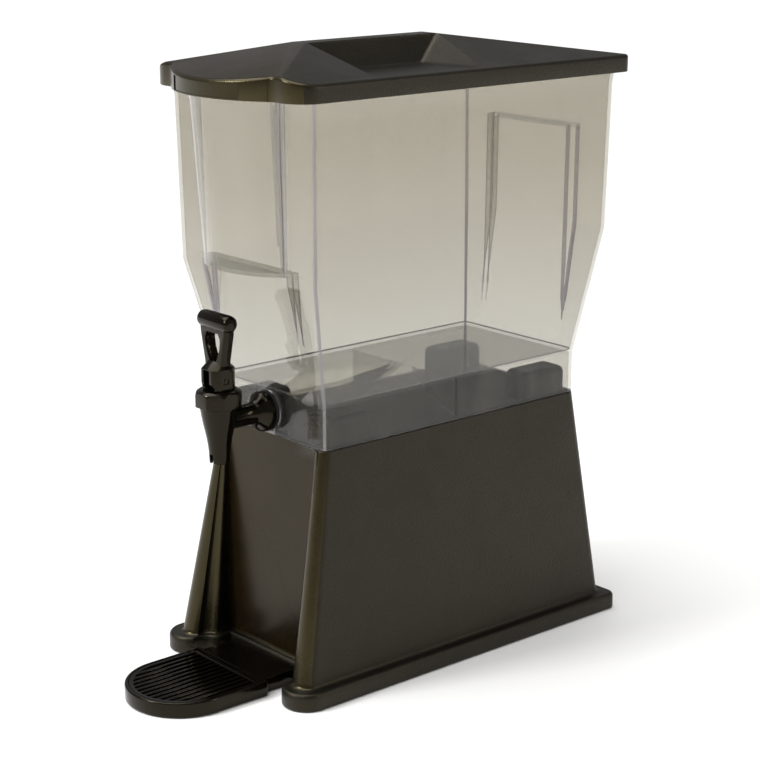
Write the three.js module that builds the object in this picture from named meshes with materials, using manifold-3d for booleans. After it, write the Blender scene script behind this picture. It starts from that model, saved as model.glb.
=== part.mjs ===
// Gravity-fed beverage dispenser: a clear bow-front reservoir on a hollow black stand, with a hipped
// lid, a pull-handle faucet and a slide-in drip tray. Millimetres, +Z up, the faucet faces -Y and
// X = 0 is the plane of symmetry. Inside the main group Y = 0 is the middle of the stand.
import * as THREE from 'three';
import { mergeVertices } from 'three/addons/utils/BufferGeometryUtils.js';
import Module from 'manifold-3d';

const wasm = await Module();
wasm.setup();

// ---------------------------------------------------------------- driving dimensions

const GAP = 0.3;
const PAST = 6; // how far a cutter runs past the face that it opens

const STAND = {
  wall: 3,
  lipZ: 0.5,
  ledgeUnderZ: 12,
  ledgeZ: 15,
  deckZ: 198.8,
  slotHalf: 31,
  slotTopZ: 9.3,
};
const LEDGE = {
  half: 96.4, rear: 177.6, rearRadius: 8, panelX: 53, panelY: -137,
  bead: { x: 61, y: -146, r: 10.5 }, flute: [62, -158], lobe: { x: 76.4, y: -157.6, r: 20, from: 215 },
};
const WALL_FOOT = {
  half: 86, rear: 167, rearRadius: 8, panelX: 63, panelY: -131,
  bead: { x: 61, y: -146, r: 4.5 }, flute: [66.5, -153], lobe: { x: 74, y: -155, r: 12, from: 215 },
};
const WALL_TOP = {
  half: 69.2, rear: 146.2, rearRadius: 8, panelX: 57.2, panelY: -131,
  bead: { x: 58.2, y: -131.5, r: 0.8 }, flute: [58, -132], lobe: { x: 61.2, y: -124.5, r: 8, from: 250 },
};
const ARM_CORE = { foot: { x: 74, y: -154.5, r: 8.8 }, top: { x: 61.2, y: -125, r: 4.2 }, topZ: 185 };
const PADS = { z: 222.5, edge: 6, outerX: 65.5, front: [35, -124, -80], rear: [38, 90, 138] };

const TANK = {
  wall: 2.8,
  skirtZ: 199.1,
  floorUnderZ: 233.2,
  floorZ: 236.2,
  taperZ: 233.5,
  frontBreakZ: 331.5,
  rearBreakZ: 342,
  topZ: 481,
  floor: { half: 69.2, front: -132.5, rear: 146.2, radius: 8 },
  bend: { half: 87.4, front: -155.2, rear: 163.3, radius: 10 },
  top: { half: 90.6, front: -157.6, rear: 165.1, radius: 10 },
};
const BOW = {
  ledgeZ: 337,
  low: { kinkX: 52, kinkY: -154.6, apex: -176 },
  high: { kinkX: 53.5, kinkY: -162.5, apex: -188 },
  backY: -140,
};
const FLARE = { z: [461, 474], steps: [[0, 0], [0.45, 0.3], [0.8, 0.8], [1, 1.1]] };
const FRONT_GRIP = { half: 52, lowZ: 270, lowY: -141.2, topZ: BOW.ledgeZ, topY: -146 };
const REAR_GRIP = { half: 47, lowZ: 258, lowY: 150.4, topZ: 423, topY: 153 };
const SUMP = { half: 18, squareY: -72, apexY: 4, apexZ: 233, slope: 0.2232 };
const GUSSET = { y: [7.75, 10.25], knee: [30, 214], tip: 12 };
const BOSS = { r: 17.2, frontY: -134.5, rearY: -120 };

const LID = {
  wall: 2.2, rimZ: 471.9, ridgeZ: 506, ceilingZ: 481.3, seatRim: 6,
  half: 94.2, front: -173.5, rear: 177.3, frontRadius: 22, rearRadius: 8,
  kinkX: 60.5, kinkY: -176.3, apex: -196,
};
// Four roof planes falling from a flat ridge; each slope is rise per millimetre of run.
const ROOF = { half: 8, front: -98, rear: 35, sideSlope: 0.2381, frontSlope: 0.205, rearSlope: 0.1429 };
const PLATE = { half: 40, lowZ: 473, underRoof: 3, depth: 0.7 };
const POCKET = {
  floorZ: 484.2, floorRise: 2.1, lowX: 20, highX: 7.5, frontY: -97, lowRearY: 10, highRearY: 38, wall: 2.6,
};

const TRAY = {
  half: 46.5, roundY: -222, shoulderY: -172.5, neckHalf: 41, rearY: -137.5,
  baseZ: 0.5, rimZ: 13, wall: 3, floorZ: 3,
};
const TONGUE = { half: 30, rearY: -120, z: [3.5, 8.5] };
const POST = { r: 3, footR: 3.5, lowZ: 2.35, topZ: 7.85, x: 28, y: [-235, -190] };
const GRATE = { z: [8.2, 12.6], clear: 0.4, border: 3.4, rearBorder: 6, slats: 12, slatWidth: 3 };

const TAP_Y = -181.5; // vertical axis of the faucet barrel
const SPOUT = {
  outer: [
    [0, 185.3], [7.8, 185.3], [8.3, 185.9], [8.8, 196], [10.2, 205.5], [12.8, 217.5], [15.1, 231.2],
    [12.4, 231.2], [12.4, 238.5], [0, 238.5],
  ],
  bore: [[0, 178], [5.6, 178], [5.6, 209], [8.2, 213.5], [10.4, 224], [10.4, 245], [0, 245]],
  notch: { x: [-2.2, 2.2], y: [-10, -5], z: [178, 193] },
};
const SHANK = {
  z: 219, r: 8.7, bore: 4.5, endY: -112,
  flange: [[-149, 8.7], [-146.8, 11], [-144.4, 14.6], [-141, 16.4], [-137, 16.4], [-137, 8.7]],
};
const OUTER_WASHER = { r: 15.9, y: [-136.7, -134.8] };
const INNER_WASHER = { r: 15, y: [-129.4, -127.4] };
const NUT = { r: 14.8, y: [-127.1, -119], sides: 6 };
const BONNET = { lowZ: 231.5, topZ: 245, r: 18.9, bore: 12.7, ceilingZ: 239, guideR: 10.4, guideZ: 243.1 };
const STEM = { r: 3.2, lowZ: 213, collarR: 6, collarZ: [220, 222], topZ: 257 };
const SEAT = {
  outer: [[0, 210.5], [6, 210.5], [7.8, 213.6], [7.8, 215.5], [5, 219.4]],
  topZ: 219.4,
};
const SPRING = { r: 5.2, wire: 0.6, topZ: 241, turns: 5, steps: 60 };
const SPRING_WASHER = { r: 9.8, z: [241.3, 242.8] };
const PIN = { z: 252.6, r: 1.9, half: 10.8 };
const CAM = { offset: 4, r: 7.3 };
const HANDLE = {
  blockHalf: 11.5, blockLowZ: 240, blockTopZ: 262, crownZ: 268, plate: 9.5, slotRearY: 7, slotTopZ: 261.5,
  legs: [[9.5, 260], [10, 267], [15, 290], [15.5, 298.8]],
  hole: [[0, 264], [5, 269.5], [8.4, 277.5], [9.6, 285], [7.4, 290.4]],
};
const BAR = { z: 298.8, r: 7, half: 20.5, ends: [[0, 0], [0.6, 0.8], [0.9, 3], [1, 6]] };
const FEET = { r: 4, front: [87.3, -160], rear: [88, 169] };

// ---------------------------------------------------------------- finishes

const FINISH = {
  grainedBlack: { color: '#34312a', roughness: 0.55, metalness: 0 },
  glossBlack: { color: '#15130f', roughness: 0.2, metalness: 0 },
  clear: { color: '#d8d3c4', roughness: 0.06, metalness: 0, transparent: true, opacity: 0.35 },
  rubber: { color: '#1b1a19', roughness: 0.8, metalness: 0 },
  silicone: { color: '#b9b6ab', roughness: 0.6, metalness: 0 },
  steel: { color: '#b8babb', roughness: 0.3, metalness: 1 },
};

// ---------------------------------------------------------------- solids

function solid(geometry) {
  const bare = geometry.clone();
  bare.deleteAttribute('normal');
  bare.deleteAttribute('uv');
  const merged = mergeVertices(bare, 1e-4);
  const mesh = new wasm.Mesh({
    numProp: 3,
    vertProperties: Float32Array.from(merged.attributes.position.array),
    triVerts: Uint32Array.from(merged.index.array),
  });
  return new wasm.Manifold(mesh);
}

function join(first, ...others) {
  return others.reduce((sum, next) => sum.add(next), first);
}

function cut(first, ...others) {
  return others.reduce((rest, next) => rest.subtract(next), first);
}

function shell(manifold) {
  const mesh = manifold.getMesh();
  const geometry = new THREE.BufferGeometry();
  geometry.setAttribute('position', new THREE.BufferAttribute(mesh.vertProperties, mesh.numProp));
  geometry.setIndex(new THREE.BufferAttribute(mesh.triVerts, 1));
  geometry.computeVertexNormals();
  return geometry;
}

// Closed body skinned over rings of equal point count, lowest ring first, counterclockwise from above.
function skin(rings) {
  const count = rings[0].length;
  const last = (rings.length - 1) * count;
  const index = [];
  for (let level = 0; level < last; level += count) {
    for (let i = 0; i < count; i += 1) {
      const a = level + i;
      const b = level + ((i + 1) % count);
      index.push(a, b, b + count, a, b + count, a + count);
    }
  }
  const flat = (ring) => ring.map(([x, y]) => new THREE.Vector2(x, y));
  for (const [a, b, c] of THREE.ShapeUtils.triangulateShape(flat(rings[0]), [])) {
    index.push(c, b, a);
  }
  for (const [a, b, c] of THREE.ShapeUtils.triangulateShape(flat(rings.at(-1)), [])) {
    index.push(last + a, last + b, last + c);
  }
  const geometry = new THREE.BufferGeometry();
  geometry.setAttribute('position', new THREE.Float32BufferAttribute(rings.flat(2), 3));
  geometry.setIndex(index);
  return solid(geometry);
}

function lathe(profile, segments = 28) {
  const points = profile.map(([r, z]) => new THREE.Vector2(r, z));
  return solid(new THREE.LatheGeometry([...points, points[0]], segments).rotateX(Math.PI / 2));
}

function box(x, y, z) {
  const geometry = new THREE.BoxGeometry(x[1] - x[0], y[1] - y[0], z[1] - z[0]);
  return solid(geometry.translate((x[0] + x[1]) / 2, (y[0] + y[1]) / 2, (z[0] + z[1]) / 2));
}

// Cylinder along Y between two stations, centred on X = 0.
function rod(radius, y, z, sides = 28) {
  const geometry = new THREE.CylinderGeometry(radius, radius, y[1] - y[0], sides).rotateY(Math.PI / sides);
  return solid(geometry.translate(0, (y[0] + y[1]) / 2, z));
}

// Outline in the XZ plane extruded along Y.
function slab(points, y) {
  const shape = new THREE.Shape(points.map(([x, z]) => new THREE.Vector2(x, z)));
  const geometry = new THREE.ExtrudeGeometry(shape, { depth: y[1] - y[0], bevelEnabled: false });
  return solid(geometry.rotateX(Math.PI / 2).translate(0, y[1], 0));
}

// ---------------------------------------------------------------- outlines

function arc(centreX, centreY, radius, from, to, steps) {
  const points = [];
  for (let i = 0; i <= steps; i += 1) {
    const angle = THREE.MathUtils.degToRad(from + ((to - from) * i) / steps);
    points.push([centreX + radius * Math.cos(angle), centreY + radius * Math.sin(angle)]);
  }
  return points;
}

// Inner points of a quadratic curve, without its two ends.
function bend(start, control, end, steps) {
  const points = [];
  for (let i = 1; i < steps; i += 1) {
    const t = i / steps;
    const blend = (k) => (1 - t) ** 2 * start[k] + 2 * t * (1 - t) * control[k] + t * t * end[k];
    points.push([blend(0), blend(1)]);
  }
  return points;
}

// Whole ring from its right half, which runs from front to rear.
function mirrored(right, z) {
  const left = right.filter(([x]) => x > 0).reverse().map(([x, y]) => [-x, y]);
  return [...right, ...left].map(([x, y]) => [x, y, typeof z === 'function' ? z(x, y) : z]);
}

function rectRing({ half, front, rear, radius }, z, inset = 0, steps = 4) {
  const r = Math.max(radius - inset, 0.5);
  const x = half - inset - r;
  return mirrored([
    ...arc(x, front + inset + r, r, 270, 360, steps),
    ...arc(x, rear - inset - r, r, 0, 90, steps),
  ], z);
}

function bowPoints({ kinkX, kinkY, apex }, inset, steps = 8) {
  const x = kinkX - inset;
  const sag = kinkY - apex;
  const radius = (x * x + sag * sag) / (2 * sag);
  const points = [];
  for (let i = 0; i <= steps; i += 1) {
    const across = (x * i) / steps;
    points.push([across, apex + inset + radius - Math.sqrt(radius * radius - across * across)]);
  }
  return points;
}

function lidRing(z, inset) {
  const frontR = LID.frontRadius - inset;
  const rearR = LID.rearRadius - inset;
  const front = LID.front + inset;
  const corner = arc(LID.half - inset - frontR, front + frontR, frontR, 270, 360, 6);
  const kink = [LID.kinkX - inset, LID.kinkY + inset];
  const shoulder = [THREE.MathUtils.lerp(kink[0], corner[0][0], 0.65), front];
  const control = [THREE.MathUtils.lerp(kink[0], corner[0][0], 0.1), front];
  return mirrored([
    ...bowPoints(LID, inset),
    ...bend(kink, control, shoulder, 4),
    shoulder,
    ...corner,
    ...arc(LID.half - inset - rearR, LID.rear - inset - rearR, rearR, 0, 90, 4),
  ], z);
}

function standRing(plan, z, grow = 0) {
  const { bead, lobe, rearRadius } = plan;
  const beadPoints = arc(bead.x, bead.y, bead.r + grow, 150, 230, 5);
  const lobePoints = arc(lobe.x, lobe.y, lobe.r + grow, lobe.from, 360, 9);
  return mirrored([
    [plan.panelX, plan.panelY - grow],
    ...beadPoints,
    ...bend(beadPoints.at(-1), plan.flute, lobePoints[0], 4),
    ...lobePoints,
    [plan.half + grow, lobe.y + 20],
    ...arc(plan.half - rearRadius, plan.rear - rearRadius, rearRadius + grow, 0, 90, 4),
  ], z);
}

function circleRing({ x, y, r }, z, sides = 12) {
  return arc(x, y, r, 0, 360 - 360 / sides, sides - 1).map((point) => [...point, z]);
}

// Locating block right of X = 0, with rounded vertical corners and a rounded top edge.
function pad([innerX, frontY, rearY], lowZ, inset = 0) {
  const { z: topZ, edge, outerX } = PADS;
  const middle = (innerX + outerX) / 2;
  const plan = { half: (outerX - innerX) / 2, front: frontY, rear: rearY, radius: edge };
  const levels = [
    [lowZ, 0], [topZ - edge, 0], [topZ - edge / 2, edge / 7], [topZ - edge / 7, edge / 2], [topZ, edge - 0.4],
  ];
  const ring = (z, shrink) => rectRing(plan, z - inset, inset + shrink);
  return skin(levels.map(([z, shrink]) => ring(z, shrink).map(([x, y, height]) => [x + middle, y, height])));
}

const bothSides = (body) => join(body, body.mirror([1, 0, 0]));

// ---------------------------------------------------------------- stand

// Height and outward growth of the flange at each level of its rounded edge.
const FLANGE_EDGE = [
  [STAND.lipZ, -1.2], [STAND.lipZ + 1.2, 0], [11, 0], [13.2, -0.9], [14.5, -2.6], [STAND.ledgeZ, -4.8],
];

function standOutside() {
  const { ledgeZ, deckZ } = STAND;
  const walls = [
    standRing(WALL_FOOT, ledgeZ - 2), standRing(WALL_FOOT, ledgeZ), standRing(WALL_TOP, deckZ),
  ];
  const pads = [PADS.front, PADS.rear].map((plan) => bothSides(pad(plan, deckZ - 1)));
  return join(skin(FLANGE_EDGE.map(([z, grow]) => standRing(LEDGE, z, grow))), skin(walls), ...pads);
}

function standHollows() {
  const { wall, lipZ, ledgeUnderZ, ledgeZ, deckZ, slotHalf, slotTopZ } = STAND;
  const inside = ({ half, panelY, rear, rearRadius }) => ({ half, front: panelY, rear, radius: rearRadius });
  const armCore = [circleRing(ARM_CORE.foot, ledgeUnderZ - 1), circleRing(ARM_CORE.top, ARM_CORE.topZ)];
  return [
    skin([standRing(LEDGE, lipZ - PAST, -wall), standRing(LEDGE, ledgeUnderZ, -wall)]),
    skin([
      rectRing(inside(WALL_FOOT), ledgeUnderZ - 1, wall),
      rectRing(inside(WALL_FOOT), ledgeZ, wall),
      rectRing(inside(WALL_TOP), deckZ - wall, wall),
    ]),
    bothSides(skin(armCore)),
    box([-slotHalf, slotHalf], [LEDGE.panelY - PAST, LEDGE.panelY + PAST], [lipZ - PAST, slotTopZ]),
    ...[PADS.front, PADS.rear].map((plan) => bothSides(pad(plan, deckZ - PAST, wall - 0.5))),
  ];
}

const makeStand = () => cut(standOutside(), ...standHollows());

function makeFoot([x, y]) {
  const height = STAND.ledgeUnderZ - GAP;
  const foot = new THREE.CylinderGeometry(FEET.r, FEET.r, height, 20).rotateX(Math.PI / 2);
  return foot.translate(x, y, height / 2);
}

// ---------------------------------------------------------------- reservoir

// Height of the fold between the tapered and the upright wall, which rises towards the rear.
function foldZ(y) {
  const share = (y - TANK.bend.front) / (TANK.bend.rear - TANK.bend.front);
  return TANK.frontBreakZ + share * (TANK.rearBreakZ - TANK.frontBreakZ);
}

function tankBody(inset, lowZ, topZ) {
  const lowInset = inset === 0 ? 0 : inset - 0.5;
  return skin([
    rectRing(TANK.floor, lowZ, lowInset),
    rectRing(TANK.bend, (x, y) => foldZ(y), inset),
    rectRing(TANK.top, topZ, inset),
  ]);
}

function bowRing(z, inset) {
  const share = (z - BOW.ledgeZ) / (TANK.topZ - BOW.ledgeZ);
  const mix = (key) => THREE.MathUtils.lerp(BOW.low[key], BOW.high[key], share);
  const plan = { kinkX: mix('kinkX'), kinkY: mix('kinkY'), apex: mix('apex') };
  return mirrored([...bowPoints(plan, inset), [plan.kinkX - inset, BOW.backY]], z);
}

// Slight widening of the walls under the lid's rim.
function flare() {
  const [from, to] = FLARE.z;
  const wallPlan = (z) => {
    const share = (z - TANK.rearBreakZ) / (TANK.topZ - TANK.rearBreakZ);
    const mix = (key) => THREE.MathUtils.lerp(TANK.bend[key], TANK.top[key], share);
    return { half: mix('half'), front: mix('front'), rear: mix('rear'), radius: mix('radius') };
  };
  const levels = FLARE.steps.map(([t, grow]) => [THREE.MathUtils.lerp(from, to, t), -grow]);
  return join(
    skin(levels.map(([z, inset]) => rectRing(wallPlan(z), z, inset))),
    skin(levels.map(([z, inset]) => bowRing(z, inset))),
  );
}

// Wedge in front of the tapered wall that leaves a finger grip; `side` is -1 in front and 1 behind.
function gripCutter(grip, side, grow) {
  const reach = side * 210;
  const ring = (z, y) => {
    const inner = y - side * grow;
    const plan = { half: grip.half + grow, front: Math.min(inner, reach), rear: Math.max(inner, reach) };
    return rectRing({ ...plan, radius: 5 + grow }, z);
  };
  return skin([ring(grip.lowZ - 2 * grow, grip.lowY), ring(grip.topZ + grow, grip.topY)]);
}

function sumpWedge(grow, topZ) {
  const frontY = TANK.floor.front + TANK.wall - grow / 2;
  const fall = (x, y) => SUMP.apexZ - SUMP.slope * (SUMP.apexY - y) - grow;
  const side = SUMP.half + grow;
  const right = [[side, frontY], [side, SUMP.squareY + grow / 3], [0.4, SUMP.apexY + grow * 2]];
  return skin([mirrored(right, fall), mirrored(right, topZ)]);
}

function tankOutside() {
  const rimInset = LID.wall + 0.4;
  return cut(
    join(
      tankBody(0, TANK.taperZ, TANK.topZ),
      skin([bowRing(BOW.ledgeZ, 0), bowRing(TANK.topZ, 0)]),
      flare(),
      skin([lidRing(TANK.topZ - 3, rimInset), lidRing(TANK.topZ, rimInset)]),
    ),
    gripCutter(FRONT_GRIP, -1, 0),
    gripCutter(REAR_GRIP, 1, 0),
  );
}

function tankInside() {
  const { wall, floorZ, topZ } = TANK;
  const bow = skin([bowRing(BOW.ledgeZ + wall, wall), bowRing(topZ + PAST, wall)]);
  return cut(
    join(tankBody(wall, floorZ, topZ + PAST), bow),
    gripCutter(FRONT_GRIP, -1, wall),
    gripCutter(REAR_GRIP, 1, wall),
  );
}

function tankSkirt() {
  const { wall, skirtZ, floorUnderZ, taperZ, floor } = TANK;
  const plan = [
    [floor.half - 1, skirtZ + 0.5], [floor.half - 1, floorUnderZ + 1],
    [GUSSET.tip, floorUnderZ + 1], GUSSET.knee,
  ];
  return join(
    cut(
      skin([rectRing(floor, skirtZ), rectRing(floor, taperZ + 1)]),
      skin([rectRing(floor, skirtZ - PAST, wall), rectRing(floor, floorUnderZ, wall)]),
    ),
    bothSides(slab(plan, GUSSET.y)),
  );
}

function makeReservoir() {
  const { wall, floorUnderZ, floorZ, floor } = TANK;
  const { r, frontY, rearY } = BOSS;
  const aboveFloor = box([-2 * r, 2 * r], [frontY - PAST, rearY], [floorZ, floorZ + r]);
  const boss = cut(rod(r, [frontY, floor.front + wall], SHANK.z), aboveFloor);
  return cut(
    join(cut(tankOutside(), tankInside()), tankSkirt(), sumpWedge(wall, floorUnderZ + 1), boss),
    sumpWedge(0, floorZ + PAST),
    rod(SHANK.r + 0.5, [frontY - PAST, floor.front + PAST], SHANK.z),
  );
}

// ---------------------------------------------------------------- lid

function roofZ(x, y) {
  const fall = Math.max(
    ROOF.sideSlope * (Math.abs(x) - ROOF.half),
    ROOF.frontSlope * (ROOF.front - y),
    ROOF.rearSlope * (y - ROOF.rear),
    0,
  );
  return LID.ridgeZ - fall;
}

// Everything under the four roof planes, lowered by `drop`.
function underRoof(drop) {
  const depth = LID.ridgeZ - LID.rimZ + PAST;
  const ring = (down) => mirrored([
    [ROOF.half + down / ROOF.sideSlope, ROOF.front - down / ROOF.frontSlope],
    [ROOF.half + down / ROOF.sideSlope, ROOF.rear + down / ROOF.rearSlope],
  ], LID.ridgeZ - down - drop);
  return skin([ring(depth), ring(0)]);
}

// Space over the finger pockets; the floor rises a little towards the rim.
function pocketCutter(grow) {
  const outerX = LID.half + PAST;
  const { floorZ, floorRise, lowX, highX, frontY, lowRearY, highRearY } = POCKET;
  const floor = (x) => floorZ - grow + (floorRise * (x - lowX)) / (LID.half - lowX);
  const ring = (innerX, rearY, z) => [
    [innerX - grow, frontY - grow], [outerX, frontY - grow],
    [outerX, rearY + grow], [innerX - grow, rearY + grow],
  ].map(([x, y]) => [x, y, z ?? floor(x)]);
  return bothSides(skin([
    ring(lowX, lowRearY),
    ring(highX, highRearY, LID.ridgeZ),
    ring(highX, highRearY, LID.ridgeZ + PAST),
  ]));
}

// Bow-front prism whose top edge is rounded where it meets the roof.
function lidOutside() {
  const under = (drop) => (x, y) => roofZ(x, y) - drop;
  return skin([
    lidRing(LID.rimZ, 0.6),
    lidRing(LID.rimZ + 0.8, 0),
    lidRing(under(2.2), 0),
    lidRing(under(0.9), 0.4),
    lidRing(under(0.2), 1.2),
    lidRing(under(-0.3), 2.4),
    lidRing(LID.ridgeZ + 1, 2.4),
  ]).intersect(underRoof(0));
}

function lidPlate() {
  const band = (inset, over) => skin([
    lidRing(PLATE.lowZ - over, inset),
    lidRing((x, y) => roofZ(x, y) - PLATE.underRoof + over, inset),
  ]);
  const middle = box([-PLATE.half, PLATE.half], [LID.apex - PAST, LID.front + PAST], [LID.rimZ, LID.ridgeZ]);
  return cut(band(-1, 0), band(PLATE.depth, PAST)).intersect(middle);
}

function makeLid() {
  const { wall, rimZ, ceilingZ, ridgeZ, seatRim } = LID;
  const rimSpace = skin([lidRing(rimZ - PAST, wall), lidRing(ceilingZ, wall)]);
  const roofSpace = cut(
    skin([lidRing(ceilingZ - 1, seatRim), lidRing(ridgeZ, seatRim)]).intersect(underRoof(wall + 0.2)),
    pocketCutter(POCKET.wall),
  );
  return cut(lidOutside(), pocketCutter(0), rimSpace, roofSpace, lidPlate());
}

// ---------------------------------------------------------------- drip tray and grate

function trayRing(inset, z, rearY) {
  const shoulder = Math.min(TRAY.shoulderY - inset, rearY);
  return mirrored([
    ...arc(0, TRAY.roundY, TRAY.half - inset, 270, 360, 12),
    [TRAY.half - inset, shoulder],
  ], z);
}

function makeTray() {
  const { baseZ, rimZ, wall, neckHalf, shoulderY, rearY, floorZ } = TRAY;
  const trayBody = (levels) => skin(levels.map(([z, inset]) => trayRing(inset, z, shoulderY)));
  const bowl = trayBody([[baseZ, 1], [baseZ + 1, 0], [rimZ - 1, 0], [rimZ - 0.3, 0.4], [rimZ, 1.1]]);
  const basin = trayBody([[floorZ, wall + 1.5], [GRATE.z[0] - 1, wall], [rimZ + PAST, wall]]);
  const neck = box([-neckHalf, neckHalf], [shoulderY - 2, rearY], [baseZ, rimZ - 0.4]);
  const coreHalf = neckHalf - wall;
  const neckCore = box([-coreHalf, coreHalf], [shoulderY, rearY - wall], [baseZ - PAST, rimZ - wall]);
  const tongue = box([-TONGUE.half, TONGUE.half], [rearY - 1, TONGUE.rearY], TONGUE.z);
  const post = lathe([[0, POST.lowZ], [POST.footR, POST.lowZ], [POST.r, POST.topZ], [0, POST.topZ]], 12);
  const posts = POST.y.map((y) => bothSides(post.translate([POST.x, y, 0])));
  return join(cut(join(bowl, neck), basin, neckCore), tongue, ...posts);
}

function makeGrate() {
  const clear = TRAY.wall + GRATE.clear;
  const [lowZ, topZ] = GRATE.z;
  const plate = skin([trayRing(clear, lowZ, TRAY.shoulderY), trayRing(clear, topZ, TRAY.shoulderY)]);
  const rearY = TRAY.shoulderY - clear - GRATE.rearBorder;
  const inner = clear + GRATE.border;
  const field = skin([trayRing(inner, lowZ - 1, rearY), trayRing(inner, topZ + 1, rearY)]);
  const pitch = (2 * (TRAY.half - inner) + GRATE.slatWidth) / (GRATE.slats + 1);
  const slots = [];
  for (let i = 0; i <= GRATE.slats; i += 1) {
    const x = -(TRAY.half - inner) + pitch * i;
    slots.push(box([x, x + pitch - GRATE.slatWidth], [TRAY.roundY - TRAY.half, rearY], [lowZ - 1, topZ + 1]));
  }
  return cut(plate, join(...slots).intersect(field));
}

// ---------------------------------------------------------------- faucet

const onTap = (manifold) => manifold.translate([0, TAP_Y, 0]);

function makeFaucetBody() {
  const { r, z, bore, endY, flange } = SHANK;
  const turned = [[0, TAP_Y], [r, TAP_Y], ...flange.map(([y, radius]) => [radius, y]), [r, endY], [0, endY]];
  const shank = lathe(turned).rotate([-90, 0, 0]).translate([0, 0, z]);
  const notch = box(SPOUT.notch.x, SPOUT.notch.y, SPOUT.notch.z);
  return cut(
    join(onTap(lathe(SPOUT.outer)), shank),
    onTap(lathe(SPOUT.bore)),
    onTap(notch),
    rod(bore, [TAP_Y, endY + PAST], z),
  );
}

function makeBonnet() {
  const { lowZ, topZ, r, bore, ceilingZ, guideR, guideZ } = BONNET;
  const turned = lathe([
    [0, lowZ], [r, lowZ], [r, topZ - 4.5], [r - 1.3, topZ - 1.6], [r - 4, topZ], [0, topZ],
  ], 32);
  const flatR = r * Math.cos(Math.PI / 8) + 1.2;
  const flats = lathe([[0, lowZ - 1], [flatR, lowZ - 1], [flatR, topZ + 1], [0, topZ + 1]], 8);
  const hole = STEM.r + GAP;
  const space = lathe([
    [0, lowZ - 2], [bore, lowZ - 2], [bore, ceilingZ], [guideR, ceilingZ], [guideR, guideZ],
    [hole, guideZ], [hole, topZ + PAST], [0, topZ + PAST],
  ]);
  return onTap(cut(turned.intersect(flats.rotate([0, 0, 22.5])), space));
}

// Cylinder along X through the pin's place.
function crossRod(radius, half) {
  return new THREE.CylinderGeometry(radius, radius, 2 * half, 20).rotateZ(Math.PI / 2).translate(0, 0, PIN.z);
}

function makeStem() {
  const { r, lowZ, collarR, collarZ, topZ } = STEM;
  const turned = lathe([
    [0, lowZ], [r, lowZ], [r, collarZ[0]], [collarR, collarZ[0]], [collarR, collarZ[1]], [r, collarZ[1]],
    [r, topZ - 1], [r - 1, topZ], [0, topZ],
  ], 20);
  return onTap(cut(turned, solid(crossRod(PIN.r + GAP, PIN.half))));
}

function makeSeatCup() {
  const hole = STEM.r + GAP;
  const lowZ = STEM.lowZ - GAP;
  return onTap(lathe([...SEAT.outer, [hole, SEAT.topZ], [hole, lowZ], [0, lowZ]], 24));
}

class Helix extends THREE.Curve {
  constructor(radius, lowZ, highZ, turns) {
    super();
    Object.assign(this, { radius, lowZ, highZ, turns });
  }

  getPoint(t, target = new THREE.Vector3()) {
    const angle = 2 * Math.PI * this.turns * t;
    const z = THREE.MathUtils.lerp(this.lowZ, this.highZ, t);
    return target.set(this.radius * Math.cos(angle), this.radius * Math.sin(angle), z);
  }
}

function makeSpring() {
  const { r, wire, topZ, turns, steps } = SPRING;
  const path = new Helix(r, STEM.collarZ[1] + GAP + wire, topZ - wire, turns);
  const section = new THREE.Shape(arc(0, 0, wire, 0, 300, 5).map(([x, y]) => new THREE.Vector2(x, y)));
  const coil = new THREE.ExtrudeGeometry(section, { steps, extrudePath: path, bevelEnabled: false });
  return onTap(solid(coil));
}

function makeSpringWasher() {
  const { r, z } = SPRING_WASHER;
  const inner = STEM.r + 0.4;
  return onTap(lathe([[inner, z[0]], [r, z[0]], [r, z[1]], [inner, z[1]]]));
}

function makeShankRing({ r, y, sides }) {
  return cut(rod(r, y, SHANK.z, sides), rod(SHANK.r + GAP, [y[0] - 1, y[1] + 1], SHANK.z));
}

// Foot of the handle: its round front edge rolls on the bonnet as the handle tips.
function handleFoot() {
  const { blockHalf, blockLowZ, blockTopZ, crownZ } = HANDLE;
  const deep = CAM.offset + CAM.r;
  const corners = [[6.6, -deep], [blockHalf, -6.2], [blockHalf, 6.2], [6.6, deep]];
  const level = (scale, z) => [...corners, ...corners.map(([x, y]) => [-x, -y])]
    .map(([x, y]) => [x * (0.4 + 0.6 * scale), y * scale, z]);
  const side = [
    ...arc(-CAM.offset, PIN.z, CAM.r, 180, 270, 8), [deep, PIN.z - CAM.r], [deep, BAR.z], [-deep, BAR.z],
  ];
  const block = skin([level(1, blockLowZ), level(1, blockTopZ), level(0.45, crownZ)]);
  return block.intersect(slab(side, [-2 * blockHalf, 2 * blockHalf]).rotate([0, 0, 90]));
}

function makeHandle() {
  const { plate, legs, hole, blockLowZ, slotRearY, slotTopZ } = HANDLE;
  const mirror = (points) => points.filter(([x]) => x > 0).reverse().map(([x, z]) => [-x, z]);
  const loop = cut(
    slab([...legs, ...mirror(legs)], [-plate / 2, plate / 2]),
    slab([...hole, ...mirror(hole)], [-plate, plate]),
  );
  const end = BAR.ends.map(([scale, along]) => [BAR.r * scale, BAR.half - along]);
  const bar = lathe([...end.map(([r, x]) => [r, -x]), ...end.reverse()], 20).rotate([0, 90, 0]);
  const slotHalf = STEM.r + 0.6;
  const slot = box([-slotHalf, slotHalf], [-CAM.offset - CAM.r - PAST, slotRearY], [blockLowZ, slotTopZ]);
  const solids = join(handleFoot(), loop, bar.translate([0, 0, BAR.z]));
  return onTap(cut(solids, slot, solid(crossRod(PIN.r + GAP, 2 * PIN.half))));
}

const makePin = () => crossRod(PIN.r, PIN.half).translate(0, TAP_Y, 0);

// ---------------------------------------------------------------- assembly

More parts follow.
